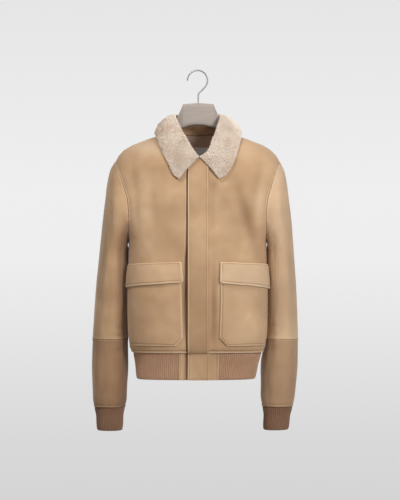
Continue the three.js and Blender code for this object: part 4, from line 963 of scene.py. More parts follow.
# Ribbed cuffs and hem band: doubled rib knit, its ribs standing up from plain furrows, drawn in
# along the seam and folded at the free edge.
KNIT, RIB_HEIGHT, RIB_PITCH = 2.6, 1.2, 5.0
CUFF_END_Z, CUFF_MIDDLE_Z = -899, -862
CUFF_BULGE = 0.8
POINTS_PER_RIB = 8
CUFF_GIRTH, HEM_GIRTH = 235, 680
cuff_tables = {
    "right": table("z outer_x inner_x half_depth middle_y", [
        (-899, 252.5, 187.5, 38.5, 20), (-862, 253.5, 186.5, 40, 20), (-850, 256.5, 184, 42, 20),
        (-840, 259, 181, 44, 20)]),
    "left": table("z outer_x inner_x half_depth middle_y", [
        (-899, 229.5, 164.5, 38.5, 44), (-862, 233, 167, 40, 46), (-850, 237, 165, 42, 46.5),
        (-840, 240, 162.5, 44, 47)]),
}


def knit_group():
    """Chains of stitches that run along each rib, as a height and a shade."""
    tree, given, made = group_tree("knit_stitches", {"Stitch height in mm": 2.4}, ("Height", "Shade", "Fuzz"))
    cloth = tree.nodes.new("ShaderNodeAttribute")
    cloth.attribute_name = "cloth"
    split = tree.nodes.new("ShaderNodeSeparateXYZ")
    tree.links.new(cloth.outputs["Vector"], split.inputs[0])
    rib = maths(tree, "ABSOLUTE", maths(tree, "SUBTRACT", maths(tree, "FRACT", split.outputs["X"]), 0.5))
    row = maths(tree, "DIVIDE", split.outputs["Y"], given.outputs["Stitch height in mm"])
    slanted = maths(tree, "MULTIPLY_ADD", rib, 1.9, row)
    chain = maths(tree, "SINE", maths(tree, "MULTIPLY", slanted, 2 * math.pi))
    place = tree.nodes.new("ShaderNodeTexCoord").outputs["Object"]
    fuzz = noise(tree, place, 1400, 3)
    tree.links.new(maths(tree, "MULTIPLY_ADD", fuzz, 0.5, chain), made.inputs["Height"])
    tree.links.new(spread(tree, chain, -1.0, 0.6), made.inputs["Shade"])
    tree.links.new(noise(tree, place, 24, 3), made.inputs["Fuzz"])
    return tree


def knit_material(name, dark, light, furrow):
    """Rib knit in two tones of its ribs, and painted shade in the darker tone of its furrows, between its
    stitches and along its seam.
    """
    material, tree, shader = principled(name, 0.95, Sheen_Weight=0.2, Sheen_Roughness=0.5,
                                        Specular_IOR_Level=0.2)
    knit = tree.nodes.new("ShaderNodeGroup")
    knit.node_tree = knit_group()
    nap = tree.nodes.new("ShaderNodeGroup")
    nap.node_tree = suede_nap
    colour = blend(tree, spread(tree, knit.outputs["Fuzz"], 0.3, 0.7), dark, light)
    shade = maths(tree, "MULTIPLY", maths(tree, "SUBTRACT", 1.0, knit.outputs["Shade"]), 0.4)
    colour = blend(tree, shade, colour, furrow)
    colour = blend(tree, maths(tree, "MULTIPLY", nap.outputs["Groove and shade"], 0.75), colour, furrow)
    tree.links.new(colour, shader.inputs["Base Color"])
    bump(tree, shader, knit.outputs["Height"], 0.0003, 0.8)
    return material


hem_knit = knit_material("hem_knit", dark=(0.53, 0.300, 0.172), light=(0.63, 0.365, 0.218),
                         furrow=(0.25, 0.130, 0.072))
cuff_knit = knit_material("cuff_knit", dark=(0.268, 0.138, 0.075), light=(0.325, 0.171, 0.095),
                          furrow=(0.12, 0.060, 0.031))


def even_angles(place, start, end, count):
    """Angles that divide a stretch of a section into equal lengths."""
    fine = np.linspace(start, end, 1441)
    length = np.append(0, np.cumsum(np.linalg.norm(np.diff(place(fine), axis=0), axis=1)))
    return np.interp(np.linspace(0, length[-1], count + 1), length, fine)


def rib_profile(phase):
    """Height of a rib over its furrow, from 0 to 1, by its phase from furrow to furrow."""
    return np.abs(np.sin(np.pi * phase)) ** 0.55


def knit_band(name, grid, axis, yarn, heights, closed):
    """A wall of rib knit over a grid that has a set number of columns to each rib."""
    phase = np.arange(grid.shape[1]) / POINTS_PER_RIB + 0.5 * (not closed)
    top, end = heights.max() - heights[:, None], heights[:, None] - heights.min()
    wander = 0.1 * np.sin(phase[None, :] * 0.9) * RIB_HEIGHT
    gather = 1 - 0.5 * np.exp(-top / 5)
    rib = rib_profile(phase)[None, :] * gather
    relief = ((RIB_HEIGHT + 0.5) * (rib - 1) + wander - rounded(end, 2.2) - 2.2 * np.exp(-end / 4)
              - 0.8 * np.exp(-top / 1.5))
    # The marks paint shade into the furrows and along the seam.
    marks = -0.9 * (1 - rib_profile(phase)[None, :]) * gather - 0.6 * np.exp(-top / 2.0)
    return shell(name, grid, axis, (yarn, yarn), thick=KNIT + RIB_HEIGHT, relief=relief,
                 marks=np.clip(marks, -1, 0), closed=closed, cloth=(phase[None, :], heights[:, None]))


for hand_name, hand in HANDS.items():
    cuff = cuff_tables[hand_name]
    high = CUFF_SEAM_Z - CUFF_END_Z
    heights = CUFF_END_Z + (high - SEAM / 2) * steps(high, 3.0)

    def cuff_points(angle, z):
        middle = (cuff["outer_x"](z) + cuff["inner_x"](z)) / 2
        reach = (cuff["outer_x"](z) - cuff["inner_x"](z)) / 2
        bulge = CUFF_BULGE * np.sin((z - CUFF_END_Z) / high * np.pi)
        depth = cuff["half_depth"](z) + bulge
        return np.stack([hand * (middle + (reach + bulge) * np.cos(angle)),
                         cuff["middle_y"](z) - depth * np.sin(angle), z + 0 * angle], -1)
    rib_count = round(CUFF_GIRTH / RIB_PITCH)
    round_cuff = functools.partial(cuff_points, z=float(CUFF_MIDDLE_Z))
    angles = even_angles(round_cuff, 0, 2 * np.pi, rib_count * POINTS_PER_RIB)[:-1]
    grid = cuff_points(angles[None, :], heights[:, None])
    outer, inner, axis_y = (float(cuff[name](CUFF_MIDDLE_Z)) for name in ("outer_x", "inner_x", "middle_y"))
    axis = (hand * (outer + inner) / 2, axis_y)
    piece, _ = knit_band(f"cuff_ribs_{hand_name}", grid, axis, cuff_knit, heights, True)
    dress(piece, f"cuff_{hand_name}")


def hem_points(angle, z):
    """Points round the hem, by the section's angle and height."""
    x = hem["width"](z) * signed_power(np.sin(angle), 2 / SQUARENESS)
    side = np.where(np.cos(angle) > 0, FRONT, BACK)
    depth = np.where(side < 0, hem["front"](z), hem["back"](z))
    return np.stack([x, side * depth * np.abs(np.cos(angle)) ** (2 / SQUARENESS), z + 0 * x], -1)


def hem_angle(x, z):
    """The section's angle at a place across the hem."""
    return np.arcsin(signed_power(np.clip(x / hem["width"](z), -1, 1), SQUARENESS / 2))


heights = HEM_END_Z + tab_height * steps(tab_height, 3.2)
rib_count = round(HEM_GIRTH / RIB_PITCH)
HEM_MIDDLE_Z = -728.0


def hem_ends(z):
    """Angles of the band's two ends, at the seams of the left and the right tab."""
    return (hem_angle(TAB_SEAM_X["left"] + SEAM / 2, z),
            2 * np.pi + hem_angle(TAB_SEAM_X["right"] - SEAM / 2, z))


start, end = hem_ends(HEM_MIDDLE_Z)
even = even_angles(functools.partial(hem_points, z=HEM_MIDDLE_Z), start, end, rib_count * POINTS_PER_RIB)
ends = hem_ends(heights)
share = (even - start) / (end - start)
hem_grid = hem_points(ends[0][:, None] + (ends[1] - ends[0])[:, None] * share[None, :], heights[:, None])
hem_band, _ = knit_band("hem_ribs", hung_askew(hem_grid), (0, 0), hem_knit, heights, False)
dress(hem_band, "hem_rib")

# Collar: a turned-down leaf of shearling, its short dense pile outwards and bare suede below. The
# leaf runs from its fold to its outer edge, and lies on the fronts at both ends.
SHEARLING = 6.5
STAND_CLEAR, LEAF_CLEAR, OVER_FLY_FROM, OVER_FLY_TO = 0.9, 2.2, 35, 55
LEAF_LIES_FROM, COLLAR_RIDGE = 0.7, 0.6
collar_fold = table("at right_x left_x y z rise", [
    (0, 0, 0, 64, -111, 10), (0.22, 31, 31, 55, -109, 10), (0.42, 51, 51, 30, -106.5, 10),
    (0.51, 55, 55, 16, -106.5, 10), (0.6, 57, 57.5, 2, -107, 10), (0.72, 54.5, 56.5, -24, -115, 9.5),
    (0.82, 44, 49, -54, -138, 8), (0.91, 25, 37, -84, -175, 6), (0.965, 9.5, 26, -99, -202, 4),
    (1, -3.5, 6, -108, -218, 3)])
collar_edge = table("at right_x left_x z neck", [
    (0, 0, 0, -186, 0), (0.22, 52, 52, -186, 32), (0.42, 90, 90, -181, 62), (0.51, 101, 103, -170.5, 76),
    (0.6, 105, 109, -163.6, 90), (0.72, 98, 106, -178, 110), (0.82, 89, 99.5, -200, 130),
    (0.91, 71.5, 87, -234.5, 152), (0.965, 55.5, 67, -264.5, 166), (1, 44.5, 53, -271, 176)])


def unit(vectors):
    """Vectors brought to a length of 1."""
    return vectors / np.maximum(np.linalg.norm(vectors, axis=-1, keepdims=True), 1e-9)


def away_from_jacket(side, x, z):
    """Unit vectors that stand off the torso at a place on it."""
    small = 0.5
    height = np.minimum(z, shoulder_z(np.abs(x)) - small)
    slope_x = (torso_y(side, x + small, height) - torso_y(side, x - small, height)) / (2 * small)
    slope_z = (torso_y(side, x, height + small) - torso_y(side, x, height - small)) / (2 * small)
    return unit(np.stack([-slope_x * side, side + 0 * slope_x, -slope_z * side], -1))


def leaf_points(at, down):
    """Points of the leaf's outside, by the place along the collar (-1 to 1) and down the leaf (0 to 1)."""
    share, hand = np.abs(at), np.where(at < 0, -1, 1)
    fold_x, x = (hand * np.where(hand < 0, line["right_x"](share), line["left_x"](share))
                 for line in (collar_fold, collar_edge))
    fold = np.stack([fold_x, collar_fold["y"](share), collar_fold["z"](share)], -1)
    z = collar_edge["z"](share)
    side = np.where(share > COLLAR_RIDGE, FRONT, BACK)
    away = away_from_jacket(side, x, z)
    edge = np.stack([x, torso_y(side, x, z), z], -1) + away * (SHEARLING + STAND_CLEAR)
    middle = (fold + edge) / 2
    lift = unit(unit(middle * (1, 0.8, 0)) + (0, 0, 0.9))
    rise = collar_fold["rise"](share)[..., None]
    down = down[..., None]
    points = fold * (1 - down) + edge * down + lift * 4 * rise * down * (1 - down)
    over_fly = np.clip((OVER_FLY_TO - np.abs(points[..., 0])) / (OVER_FLY_TO - OVER_FLY_FROM), 0, 1) * FLY
    limit = torso_y(FRONT, points[..., 0], points[..., 2]) - SHEARLING - over_fly - LEAF_CLEAR
    lies = share > LEAF_LIES_FROM
    points[..., 1] = np.where(lies & (points[..., 1] > limit), limit, points[..., 1])
    return points


def shearling_material():
    material, tree, shader = principled("shearling_pile", 0.97, Sheen_Weight=0.35, Sheen_Roughness=0.6,
                                        Specular_IOR_Level=0.15)
    place = tree.nodes.new("ShaderNodeTexCoord").outputs["Object"]
    clumps = noise(tree, place, 80, 3)
    patches = spread(tree, noise(tree, place, 26, 3), 0.3, 0.7)
    colour = blend(tree, patches, (0.77, 0.635, 0.50), (0.87, 0.77, 0.65))
    # Painted shade darkens the pile in the hollows between its clumps, where the bump is low.
    hollow_shade = maths(tree, "MULTIPLY", spread(tree, clumps, 0.62, 0.36), 0.16)
    colour = blend(tree, hollow_shade, colour, (0.55, 0.41, 0.29))
    tree.links.new(colour, shader.inputs["Base Color"])
    bump(tree, shader, maths(tree, "MULTIPLY_ADD", noise(tree, place, 700, 3), 0.5, clumps), 0.0012, 0.7)
    return material


shearling = shearling_material()
leaf_long, leaf_high = 560.0, 86.0
leaf_at = -1 + 2 * steps(leaf_long, 3.0)
leaf_down = 1 - steps(leaf_high, 3.0)
leaf_grid = leaf_points(np.broadcast_to(leaf_at[None, :], (len(leaf_down), len(leaf_at))),
                        np.broadcast_to(leaf_down[:, None], (len(leaf_down), len(leaf_at))))
leaf_ways = outward(leaf_grid, (0, 0))
leaf_edges = np.minimum.reduce(edge_distances(leaf_grid))
# Lumps of the pile: lengths of a wave along and down the leaf, its phase and its height
LUMPS = [(26, 34, 0.4, 0.25), (-19, 27, 2.2, 0.22), (12, -14, 1.1, 0.15), (-9, -11, 3.0, 0.12)]
PILE_LIES = 1.2             # how far the skin lies below the outside of the pile
along_leaf, down_leaf = leaf_at[None, :] * leaf_long / 2, leaf_down[:, None] * leaf_high
lumps = sum(high * np.sin(2 * np.pi * (along_leaf / along + down_leaf / down) + phase)
            for along, down, phase, high in LUMPS)
leaf_relief = lumps - PILE_LIES - rounded(leaf_edges, 3.4)
leaf, leaf_surface = shell("collar_shearling", leaf_grid, (0, 0), (shearling, suede_inside), thick=SHEARLING,
                           relief=leaf_relief, under=rounded(leaf_edges, 3.0))


def geometry_tree(name, inputs):
    """An empty geometry node tree with its geometry sockets and named number inputs."""
    tree = bpy.data.node_groups.new(name, "GeometryNodeTree")
    tree.interface.new_socket("Geometry", in_out="INPUT", socket_type="NodeSocketGeometry")
    tree.interface.new_socket("Geometry", in_out="OUTPUT", socket_type="NodeSocketGeometry")
    for label, (kind, value) in inputs.items():
        socket = tree.interface.new_socket(label, in_out="INPUT", socket_type=f"NodeSocket{kind}")
        socket.default_value = value
    return tree, tree.nodes.new("NodeGroupInput"), tree.nodes.new("NodeGroupOutput")


def made_by(tree, carrier, values, name):
    """The plain mesh that a geometry node tree makes on a carrier, which is removed after it."""
    modifier = carrier.modifiers.new("made", "NODES")
    modifier.node_group = tree
    for item in tree.interface.items_tree:
        if item.in_out == "INPUT" and item.name in values:
            modifier[item.identifier] = values[item.name]
    depsgraph = bpy.context.evaluated_depsgraph_get()
    mesh = bpy.data.meshes.new_from_object(carrier.evaluated_get(depsgraph))
    mesh.name = name
    carrier.modifiers.remove(modifier)
    bpy.data.objects.remove(carrier)
    piece = bpy.data.objects.new(name, mesh)
    bpy.context.scene.collection.objects.link(piece)
    return piece


def pile_tree():
    """Tufts of pile: thin cones scattered over a surface, each leaning its own way."""
    tree, given, made = geometry_tree("pile", {
        "Density": ("Float", 1.0), "Length": ("Float", 0.003), "Radius": ("Float", 0.0005),
        "Lean": ("Float", 0.5), "Seed": ("Int", 1)})
    points = tree.nodes.new("GeometryNodeDistributePointsOnFaces")
    tree.links.new(given.outputs["Geometry"], points.inputs["Mesh"])
    tree.links.new(given.outputs["Density"], points.inputs["Density"])
    tree.links.new(given.outputs["Seed"], points.inputs["Seed"])
    cone = tree.nodes.new("GeometryNodeMeshCone")
    cone.fill_type = "NONE"
    cone.inputs["Vertices"].default_value = 3
    tree.links.new(given.outputs["Radius"], cone.inputs["Radius Bottom"])
    tree.links.new(given.outputs["Length"], cone.inputs["Depth"])
    leans = tree.nodes.new("FunctionNodeRandomValue")
    leans.data_type = "FLOAT_VECTOR"
    negative = tree.nodes.new("ShaderNodeMath")
    negative.operation = "MULTIPLY"
    negative.inputs[1].default_value = -1
    tree.links.new(given.outputs["Lean"], negative.inputs[0])
    tree.links.new(negative.outputs[0], leans.inputs["Min"])
    tree.links.new(given.outputs["Lean"], leans.inputs["Max"])
    tree.links.new(given.outputs["Seed"], leans.inputs["Seed"])
    turned = tree.nodes.new("FunctionNodeRotateRotation")
    turned.rotation_space = "LOCAL"
    tree.links.new(points.outputs["Rotation"], turned.inputs["Rotation"])
    tree.links.new(leans.outputs["Value"], turned.inputs["Rotate By"])
    sizes = tree.nodes.new("FunctionNodeRandomValue")
    sizes.inputs["Min"].default_value = 0.6
    sizes.inputs["Max"].default_value = 1.15
    tree.links.new(given.outputs["Seed"], sizes.inputs["Seed"])
    tufts = tree.nodes.new("GeometryNodeInstanceOnPoints")
    tree.links.new(points.outputs["Points"], tufts.inputs["Points"])
    tree.links.new(cone.outputs["Mesh"], tufts.inputs["Instance"])
    tree.links.new(turned.outputs["Rotation"], tufts.inputs["Rotation"])
    tree.links.new(sizes.outputs["Value"], tufts.inputs["Scale"])
    real = tree.nodes.new("GeometryNodeRealizeInstances")
    tree.links.new(tufts.outputs["Instances"], real.inputs["Geometry"])
    finish = tree.nodes.new("GeometryNodeSetMaterial")
    finish.inputs["Material"].default_value = shearling
    tree.links.new(real.outputs["Geometry"], finish.inputs["Geometry"])
    tree.links.new(finish.outputs["Geometry"], made.inputs["Geometry"])
    return tree


PILE_LENGTH, PILE_RADIUS = 2.4, 0.7
TUFTS = 52000
leaf_cells = np.cross(np.diff(leaf_surface, axis=0)[:, 1:], np.diff(leaf_surface, axis=1)[1:])
leaf_area = float(np.sum(np.linalg.norm(leaf_cells, axis=2))) * MM ** 2
rows, columns = leaf_surface.shape[:2]
index = np.arange(rows * columns).reshape(rows, columns)
carrier_faces = grid_faces(index)
corner = leaf_surface.reshape(-1, 3)[carrier_faces[0]]
face_way = np.cross(corner[1] - corner[0], corner[2] - corner[0])
if np.dot(face_way, leaf_ways.reshape(-1, 3)[carrier_faces[0][0]]) < 0:
    carrier_faces = carrier_faces[:, ::-1]
carrier = object_from("pile_carrier", leaf_surface.reshape(-1, 3), [carrier_faces], (shearling,))
pile = made_by(pile_tree(), carrier, {"Density": TUFTS / leaf_area, "Length": PILE_LENGTH * MM,
                                      "Radius": PILE_RADIUS * MM, "Lean": 0.4, "Seed": 7}, "collar_pile")
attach(pile, "root")
dress(leaf, "collar_leaf")

# Collar stand: an upright band of suede, whose side that shows in the neck takes the forearms' darker
# suede as painted shade. It is sewn into the neckline at its foot, and its upper edge carries the
# shearling leaf just under the fold.
STAND_LONG, STAND_HIGH = 420, 45
stand_at = -1 + 2 * steps(STAND_LONG, 4.0)
stand_share = np.abs(stand_at)
neck_degrees = np.radians(collar_edge["neck"](stand_share))
foot_x = NECK_HALF_WIDTH * np.sin(neck_degrees)
foot_side = np.where(collar_edge["neck"](stand_share) > 90, FRONT, BACK)
foot_z = np.where(foot_side < 0, panel_top_z(FRONT, foot_x), panel_top_z(BACK, foot_x))
foot = np.stack([foot_x * np.where(stand_at < 0, -1, 1), torso_y(foot_side, foot_x, foot_z), foot_z], -1)
foot = foot - unit(foot * (1, 1, 0)) * (SUEDE + STAND_CLEAR)
fold_line, just_below = (leaf_points(stand_at, np.full(stand_at.shape, down)) for down in (0.0, 0.06))
fold_ways = np.stack([np.interp(stand_at, leaf_at, leaf_ways[-1, :, k]) for k in range(3)], -1)
fold_line = fold_line * 0.1 + just_below * 0.9 - fold_ways * (SHEARLING + LAY)
fold_line = fold_line - unit(fold_line * (1, 1, 0))
stand_rows = steps(STAND_HIGH, 4.0)
stand_grid = foot[None] + (fold_line - foot)[None] * stand_rows[:, None, None]
stand, _ = shell("collar_stand_band", stand_grid, (0, 0), (suede_inside, suede_forearm), thick=SUEDE,
                 relief=-rounded(np.minimum.reduce(edge_distances(stand_grid)), 1.0))
dress(stand, "collar_stand")

# Neck label: a small bare rectangle of woven satin with turned edges, sewn inside the back below the
# neckline. It bows a little, and its face looks forwards.
LABEL_HALF, LABEL_END_Z, LABEL_TOP_Z = 38.0, -226.0, -187.0
LABEL_BEHIND, LABEL_THICK = 2.0, 0.8        # the space behind it, and its own thickness
LABEL_SIDE_HEM, LABEL_LONG_HEM = 1.6, 1.8


def satin_material():
    material, tree, shader = principled("label_satin", 0.42, Sheen_Weight=0.1, Specular_IOR_Level=0.5)
    place = tree.nodes.new("ShaderNodeTexCoord").outputs["Object"]
    threads = tree.nodes.new("ShaderNodeTexWave")
    threads.bands_direction = "Z"
    threads.inputs["Scale"].default_value = 620
    threads.inputs["Distortion"].default_value = 0.6
    tree.links.new(place, threads.inputs["Vector"])
    colour = blend(tree, threads.outputs["Fac"], (0.90, 0.87, 0.87), (0.95, 0.94, 0.94))
    tree.links.new(colour, shader.inputs["Base Color"])
    bump(tree, shader, threads.outputs["Fac"], 0.0001, 0.5)
    return material


label_satin = satin_material()
label_wide, label_high = 2 * LABEL_HALF, LABEL_TOP_Z - LABEL_END_Z
label_columns = steps(label_wide, 2.6, [LABEL_SIDE_HEM, label_wide - LABEL_SIDE_HEM])
label_rows = steps(label_high, 2.4, [LABEL_LONG_HEM, label_high - LABEL_LONG_HEM])
label_x = -LABEL_HALF + label_wide * label_columns[None, :]
label_z = LABEL_END_Z + label_high * label_rows[:, None]
label_bow = 0.6 * np.sin(label_x / 13) * np.sin(np.pi * label_rows[:, None])
label_grid = on_body(BACK, label_x, label_z, -SUEDE - LABEL_BEHIND - LABEL_THICK - np.abs(label_bow))
label_edges = np.minimum.reduce(edge_distances(label_grid))
FAR_BEHIND = (0, 400)       # a line behind the back, which the label's face looks away from
label, _ = shell("neck_label_satin", label_grid, FAR_BEHIND, (label_satin, label_satin), thick=LABEL_THICK,
                 relief=turned_edge(label_edges, 0.35, 0.9, 0.7, radius=0.4))
dress(label, "neck_label")

# Hanger: a carved and lacquered wooden hanger with a faceted block at the neck and broad tapering
# shoulders, with a plain wire hook screwed into its top.
HANGER_ROWS = [
    # x, upper line, lower line, depth before and behind the middle
    (0, -80.5, -136, 15, 13), (38, -83, -143.5, 15, 13), (41, -91, -144, 13.6, 12.5),
    (46, -102, -146, 11, 11.5), (51, -112, -151, 8, 11), (57, -131, -158, 9, 11),
    (63, -152.5, -166, 12, 12), (74, -159, -178, 15, 14), (110, -170, -200, 20, 18),
    (144, -181, -216, 24, 20), (169, -192.5, -226, 25, 20), (185, -204, -231, 22, 17),
    (193, -214, -230, 14, 11)]
BLOCK_HALF, ARM_END = 38, 193
BEVEL = 6.0                 # height of the bevel along the block's lower edge
BEVEL_SHARE = 0.07          # how much it takes off the depth there
BEVEL_ENDS, BEVEL_FADES = 60, 8     # how far from the middle it ends, and over what stretch
BLOCK_SHIFT, SHIFT_FULL, SHIFT_NONE = 2.0, 63, 110       # the block lies off the middle, and the arms do not


def lacquer_material():
    material, tree, shader = principled("hanger_lacquer", 0.5, Coat_Roughness=0.4, Specular_IOR_Level=0.35)
    place = tree.nodes.new("ShaderNodeTexCoord").outputs["Object"]
    stretch = tree.nodes.new("ShaderNodeMapping")
    stretch.inputs["Scale"].default_value = (0.15, 1, 1)
    tree.links.new(place, stretch.inputs["Vector"])
    grain = noise(tree, stretch.outputs["Vector"], 160, 5)
    colour = blend(tree, spread(tree, grain, 0.3, 0.7), (0.335, 0.277, 0.228), (0.39, 0.325, 0.272))
    tree.links.new(colour, shader.inputs["Base Color"])
    bump(tree, shader, maths(tree, "MULTIPLY_ADD", noise(tree, place, 900, 3), 0.3, grain), 0.0002, 0.5)
    return material


hanger_lacquer = lacquer_material()
BLOCK_FACETS, TIP_SECTIONS = [38, 38.6, 41, 46, 51, 57, 63], [190, 191.5, 192.6, ARM_END]
hanger_x = np.unique(np.concatenate([np.linspace(0, ARM_END, 90), BLOCK_FACETS, TIP_SECTIONS]))
hanger_x = np.concatenate([-hanger_x[:0:-1], hanger_x])
from_middle = np.abs(hanger_x)
rows = np.array(HANGER_ROWS)
upper, lower, before, behind = (np.interp(from_middle, rows[:, 0], rows[:, k]) for k in (1, 2, 3, 4))
# The block's lower line is an arch.
arch_ends = np.interp(from_middle, rows[1:, 0], rows[1:, 2])
arch = rows[0, 2] + (arch_ends - rows[0, 2]) * (hanger_x / BLOCK_HALF) ** 2
lower = np.where(from_middle < BLOCK_HALF, arch, lower)
tip = np.sqrt(np.clip((ARM_END + 0.5 - from_middle) / 6, 0.02, 1))
# Sections go from nearly square in the block to rounded in the arms.
turn = np.radians(np.arange(0, 360, 7.5))
power = np.interp(from_middle, [0, 56, 74, ARM_END], [0.22, 0.3, 0.75, 0.8])[:, None]
deep = signed_power(np.cos(turn)[None, :], power)
high = signed_power(np.sin(turn)[None, :], power)
hanger_y = deep * np.where(deep < 0, before[:, None], behind[:, None]) * tip[:, None]
hanger_z = (upper + lower)[:, None] / 2 + high * ((upper - lower) / 2 * (0.4 + 0.6 * tip))[:, None]
above_foot = hanger_z - lower[:, None]
bevelled = (np.clip(1 - above_foot / BEVEL, 0, 1)
            * np.clip((BEVEL_ENDS - from_middle) / BEVEL_FADES, 0, 1)[:, None])
hanger_y = np.where(hanger_y < 0, hanger_y * (1 - BEVEL_SHARE * bevelled), hanger_y)
hanger_x = hanger_x + BLOCK_SHIFT * np.clip((SHIFT_NONE - from_middle) / (SHIFT_NONE - SHIFT_FULL), 0, 1)
hanger_points = np.stack([np.broadcast_to(hanger_x[:, None], hanger_y.shape), hanger_y, hanger_z], -1)
index = np.arange(hanger_y.size).reshape(hanger_y.shape)
quads = grid_faces(np.hstack([index, index[:, :1]]))
hanger = object_from("hanger_wood", hanger_points.reshape(-1, 3), [quads], (hanger_lacquer,))
hanger_work = bmesh.new()
hanger_work.from_mesh(hanger.data)
bmesh.ops.holes_fill(hanger_work, edges=[e for e in hanger_work.edges if e.is_boundary])
bmesh.ops.recalc_face_normals(hanger_work, faces=hanger_work.faces[:])
hanger_work.to_mesh(hanger.data)
hanger_work.free()
hanger.data.set_sharp_from_angle(angle=math.radians(24))
dress(hanger, "hanger_body")

# Hook: steel wire bent to an open hook with a rounded tip, and down to a straight stem that is
# screwed into the top of the hanger's block.
HOOK_RADIUS, WIRE = 25.0, 3.6
HOOK_TURN = (183, -38)      # degrees, from the free tip to where the straight stretch begins
HOOK_STEM_X, HOOK_BEND_Z = 2.0, -60.0       # of the stem, and where the bend above it ends
turns = np.radians(np.linspace(*HOOK_TURN, 60))
curve_middle_z = -(HOOK_RADIUS - WIRE / 2)
hook_path = [(HOOK_RADIUS * math.cos(a), curve_middle_z + HOOK_RADIUS * math.sin(a)) for a in turns]
bend_start = np.array(hook_path[-1])
bend_end = np.array([HOOK_STEM_X, HOOK_BEND_Z])
bend_way = np.array([-math.cos(turns[-1] + math.pi / 2), -math.sin(turns[-1] + math.pi / 2)])
for t in np.linspace(0, 1, 24)[1:]:
    control_a, control_b = bend_start + bend_way * 15, bend_end + np.array([0, 7.0])
    hook_path.append(tuple(bend_start * (1 - t) ** 3 + 3 * control_a * t * (1 - t) ** 2
                           + 3 * control_b * t ** 2 * (1 - t) + bend_end * t ** 3))
hook_path.append((HOOK_STEM_X, HANGER_ROWS[0][1] + SEAM))
hook_curve = bpy.data.curves.new("hook_wire", "CURVE")
hook_curve.dimensions = "3D"
hook_curve.bevel_depth = WIRE / 2 * MM
hook_curve.bevel_resolution = 6
hook_curve.use_fill_caps = True
spline = hook_curve.splines.new("POLY")
spline.points.add(len(hook_path) - 1)
for point, (x, z) in zip(spline.points, hook_path):
    point.co = (x * MM, 0, z * MM, 1)
TIP_ROUNDING = (0.3, 0.75, 0.95)            # shares of the wire's radius, from its very end
for point, share in zip(spline.points, TIP_ROUNDING):
    point.radius = share


def steel_material():
    material, tree, shader = principled("hook_steel", 0.5, Metallic=0.9)
    place = tree.nodes.new("ShaderNodeTexCoord").outputs["Object"]
    scratches = noise(tree, place, 420, 4)
    colour = blend(tree, scratches, (0.34, 0.325, 0.305), (0.42, 0.40, 0.375))
    tree.links.new(colour, shader.inputs["Base Color"])
    rough = tree.nodes.new("ShaderNodeMapRange")
    rough.inputs["To Min"].default_value = 0.44
    rough.inputs["To Max"].default_value = 0.54
    tree.links.new(scratches, rough.inputs["Value"])
    tree.links.new(rough.outputs["Result"], shader.inputs["Roughness"])
    return material


hook_carrier = bpy.data.objects.new("hook_carrier", hook_curve)
bpy.context.scene.collection.objects.link(hook_carrier)
hook_mesh = bpy.data.meshes.new_from_object(hook_carrier.evaluated_get(bpy.context.evaluated_depsgraph_get()))
bpy.data.objects.remove(hook_carrier)
hook_mesh.materials.clear()
hook_mesh.materials.append(steel_material())
hook_mesh.shade_smooth()
hook = bpy.data.objects.new("hook_wire", hook_mesh)
bpy.context.scene.collection.objects.link(hook)
dress(hook, "hook")

# Topstitching: short stitches of matching thread along every line collected above. Each one is
# pulled into the suede at its ends and rises a little in its middle.
STITCH_PITCH, STITCH_LENGTH, THREAD = 3.6, 2.8, 0.62


def thread_material():
    material, tree, shader = principled("thread", 0.75, Sheen_Weight=0.15, Specular_IOR_Level=0.3)
    place = tree.nodes.new("ShaderNodeTexCoord").outputs["Object"]
    colour = blend(tree, noise(tree, place, 900, 2), (0.42, 0.262, 0.15), (0.58, 0.385, 0.238))
    tree.links.new(colour, shader.inputs["Base Color"])
    return material


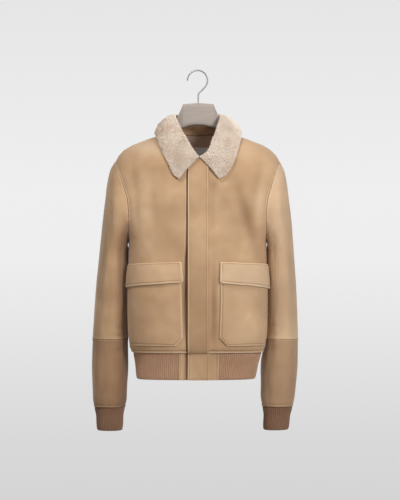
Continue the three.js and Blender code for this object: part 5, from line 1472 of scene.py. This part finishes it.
def stitch_tree():
    """A rounded stitch at every pitch along each curve, lying in its direction."""
    tree, given, made = geometry_tree("stitches", {"Pitch": ("Float", 0.0036), "Length": ("Float", 0.0028),
                                                   "Thread": ("Float", 0.0006)})
    points = tree.nodes.new("GeometryNodeCurveToPoints")
    points.mode = "LENGTH"
    tree.links.new(given.outputs["Geometry"], points.inputs["Curve"])
    tree.links.new(given.outputs["Pitch"], points.inputs["Length"])
    ball = tree.nodes.new("GeometryNodeMeshUVSphere")
    ball.inputs["Segments"].default_value = 6
    ball.inputs["Rings"].default_value = 4
    ball.inputs["Radius"].default_value = 0.5
    size = tree.nodes.new("ShaderNodeCombineXYZ")
    tree.links.new(given.outputs["Thread"], size.inputs["X"])
    tree.links.new(given.outputs["Thread"], size.inputs["Y"])
    tree.links.new(given.outputs["Length"], size.inputs["Z"])
    threads = tree.nodes.new("GeometryNodeInstanceOnPoints")
    tree.links.new(points.outputs["Points"], threads.inputs["Points"])
    tree.links.new(points.outputs["Rotation"], threads.inputs["Rotation"])
    tree.links.new(ball.outputs["Mesh"], threads.inputs["Instance"])
    tree.links.new(size.outputs["Vector"], threads.inputs["Scale"])
    real = tree.nodes.new("GeometryNodeRealizeInstances")
    tree.links.new(threads.outputs["Instances"], real.inputs["Geometry"])
    finish = tree.nodes.new("GeometryNodeSetMaterial")
    finish.inputs["Material"].default_value = thread_material()
    tree.links.new(real.outputs["Geometry"], finish.inputs["Geometry"])
    tree.links.new(finish.outputs["Geometry"], made.inputs["Geometry"])
    return tree


stitch_curve = bpy.data.curves.new("stitch_lines", "CURVE")
stitch_curve.dimensions = "3D"
for line in stitch_lines:
    spline = stitch_curve.splines.new("POLY")
    spline.points.add(len(line) - 1)
    line_points = np.column_stack([line * MM, np.ones(len(line))])
    spline.points.foreach_set("co", line_points.astype(np.float32).ravel())
stitch_carrier = bpy.data.objects.new("stitch_carrier", stitch_curve)
bpy.context.scene.collection.objects.link(stitch_carrier)
stitches = made_by(stitch_tree(), stitch_carrier, {"Pitch": STITCH_PITCH * MM, "Length": STITCH_LENGTH * MM,
                                                   "Thread": THREAD * MM}, "topstitching")
stitches.data.shade_smooth()
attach(stitches, "root")
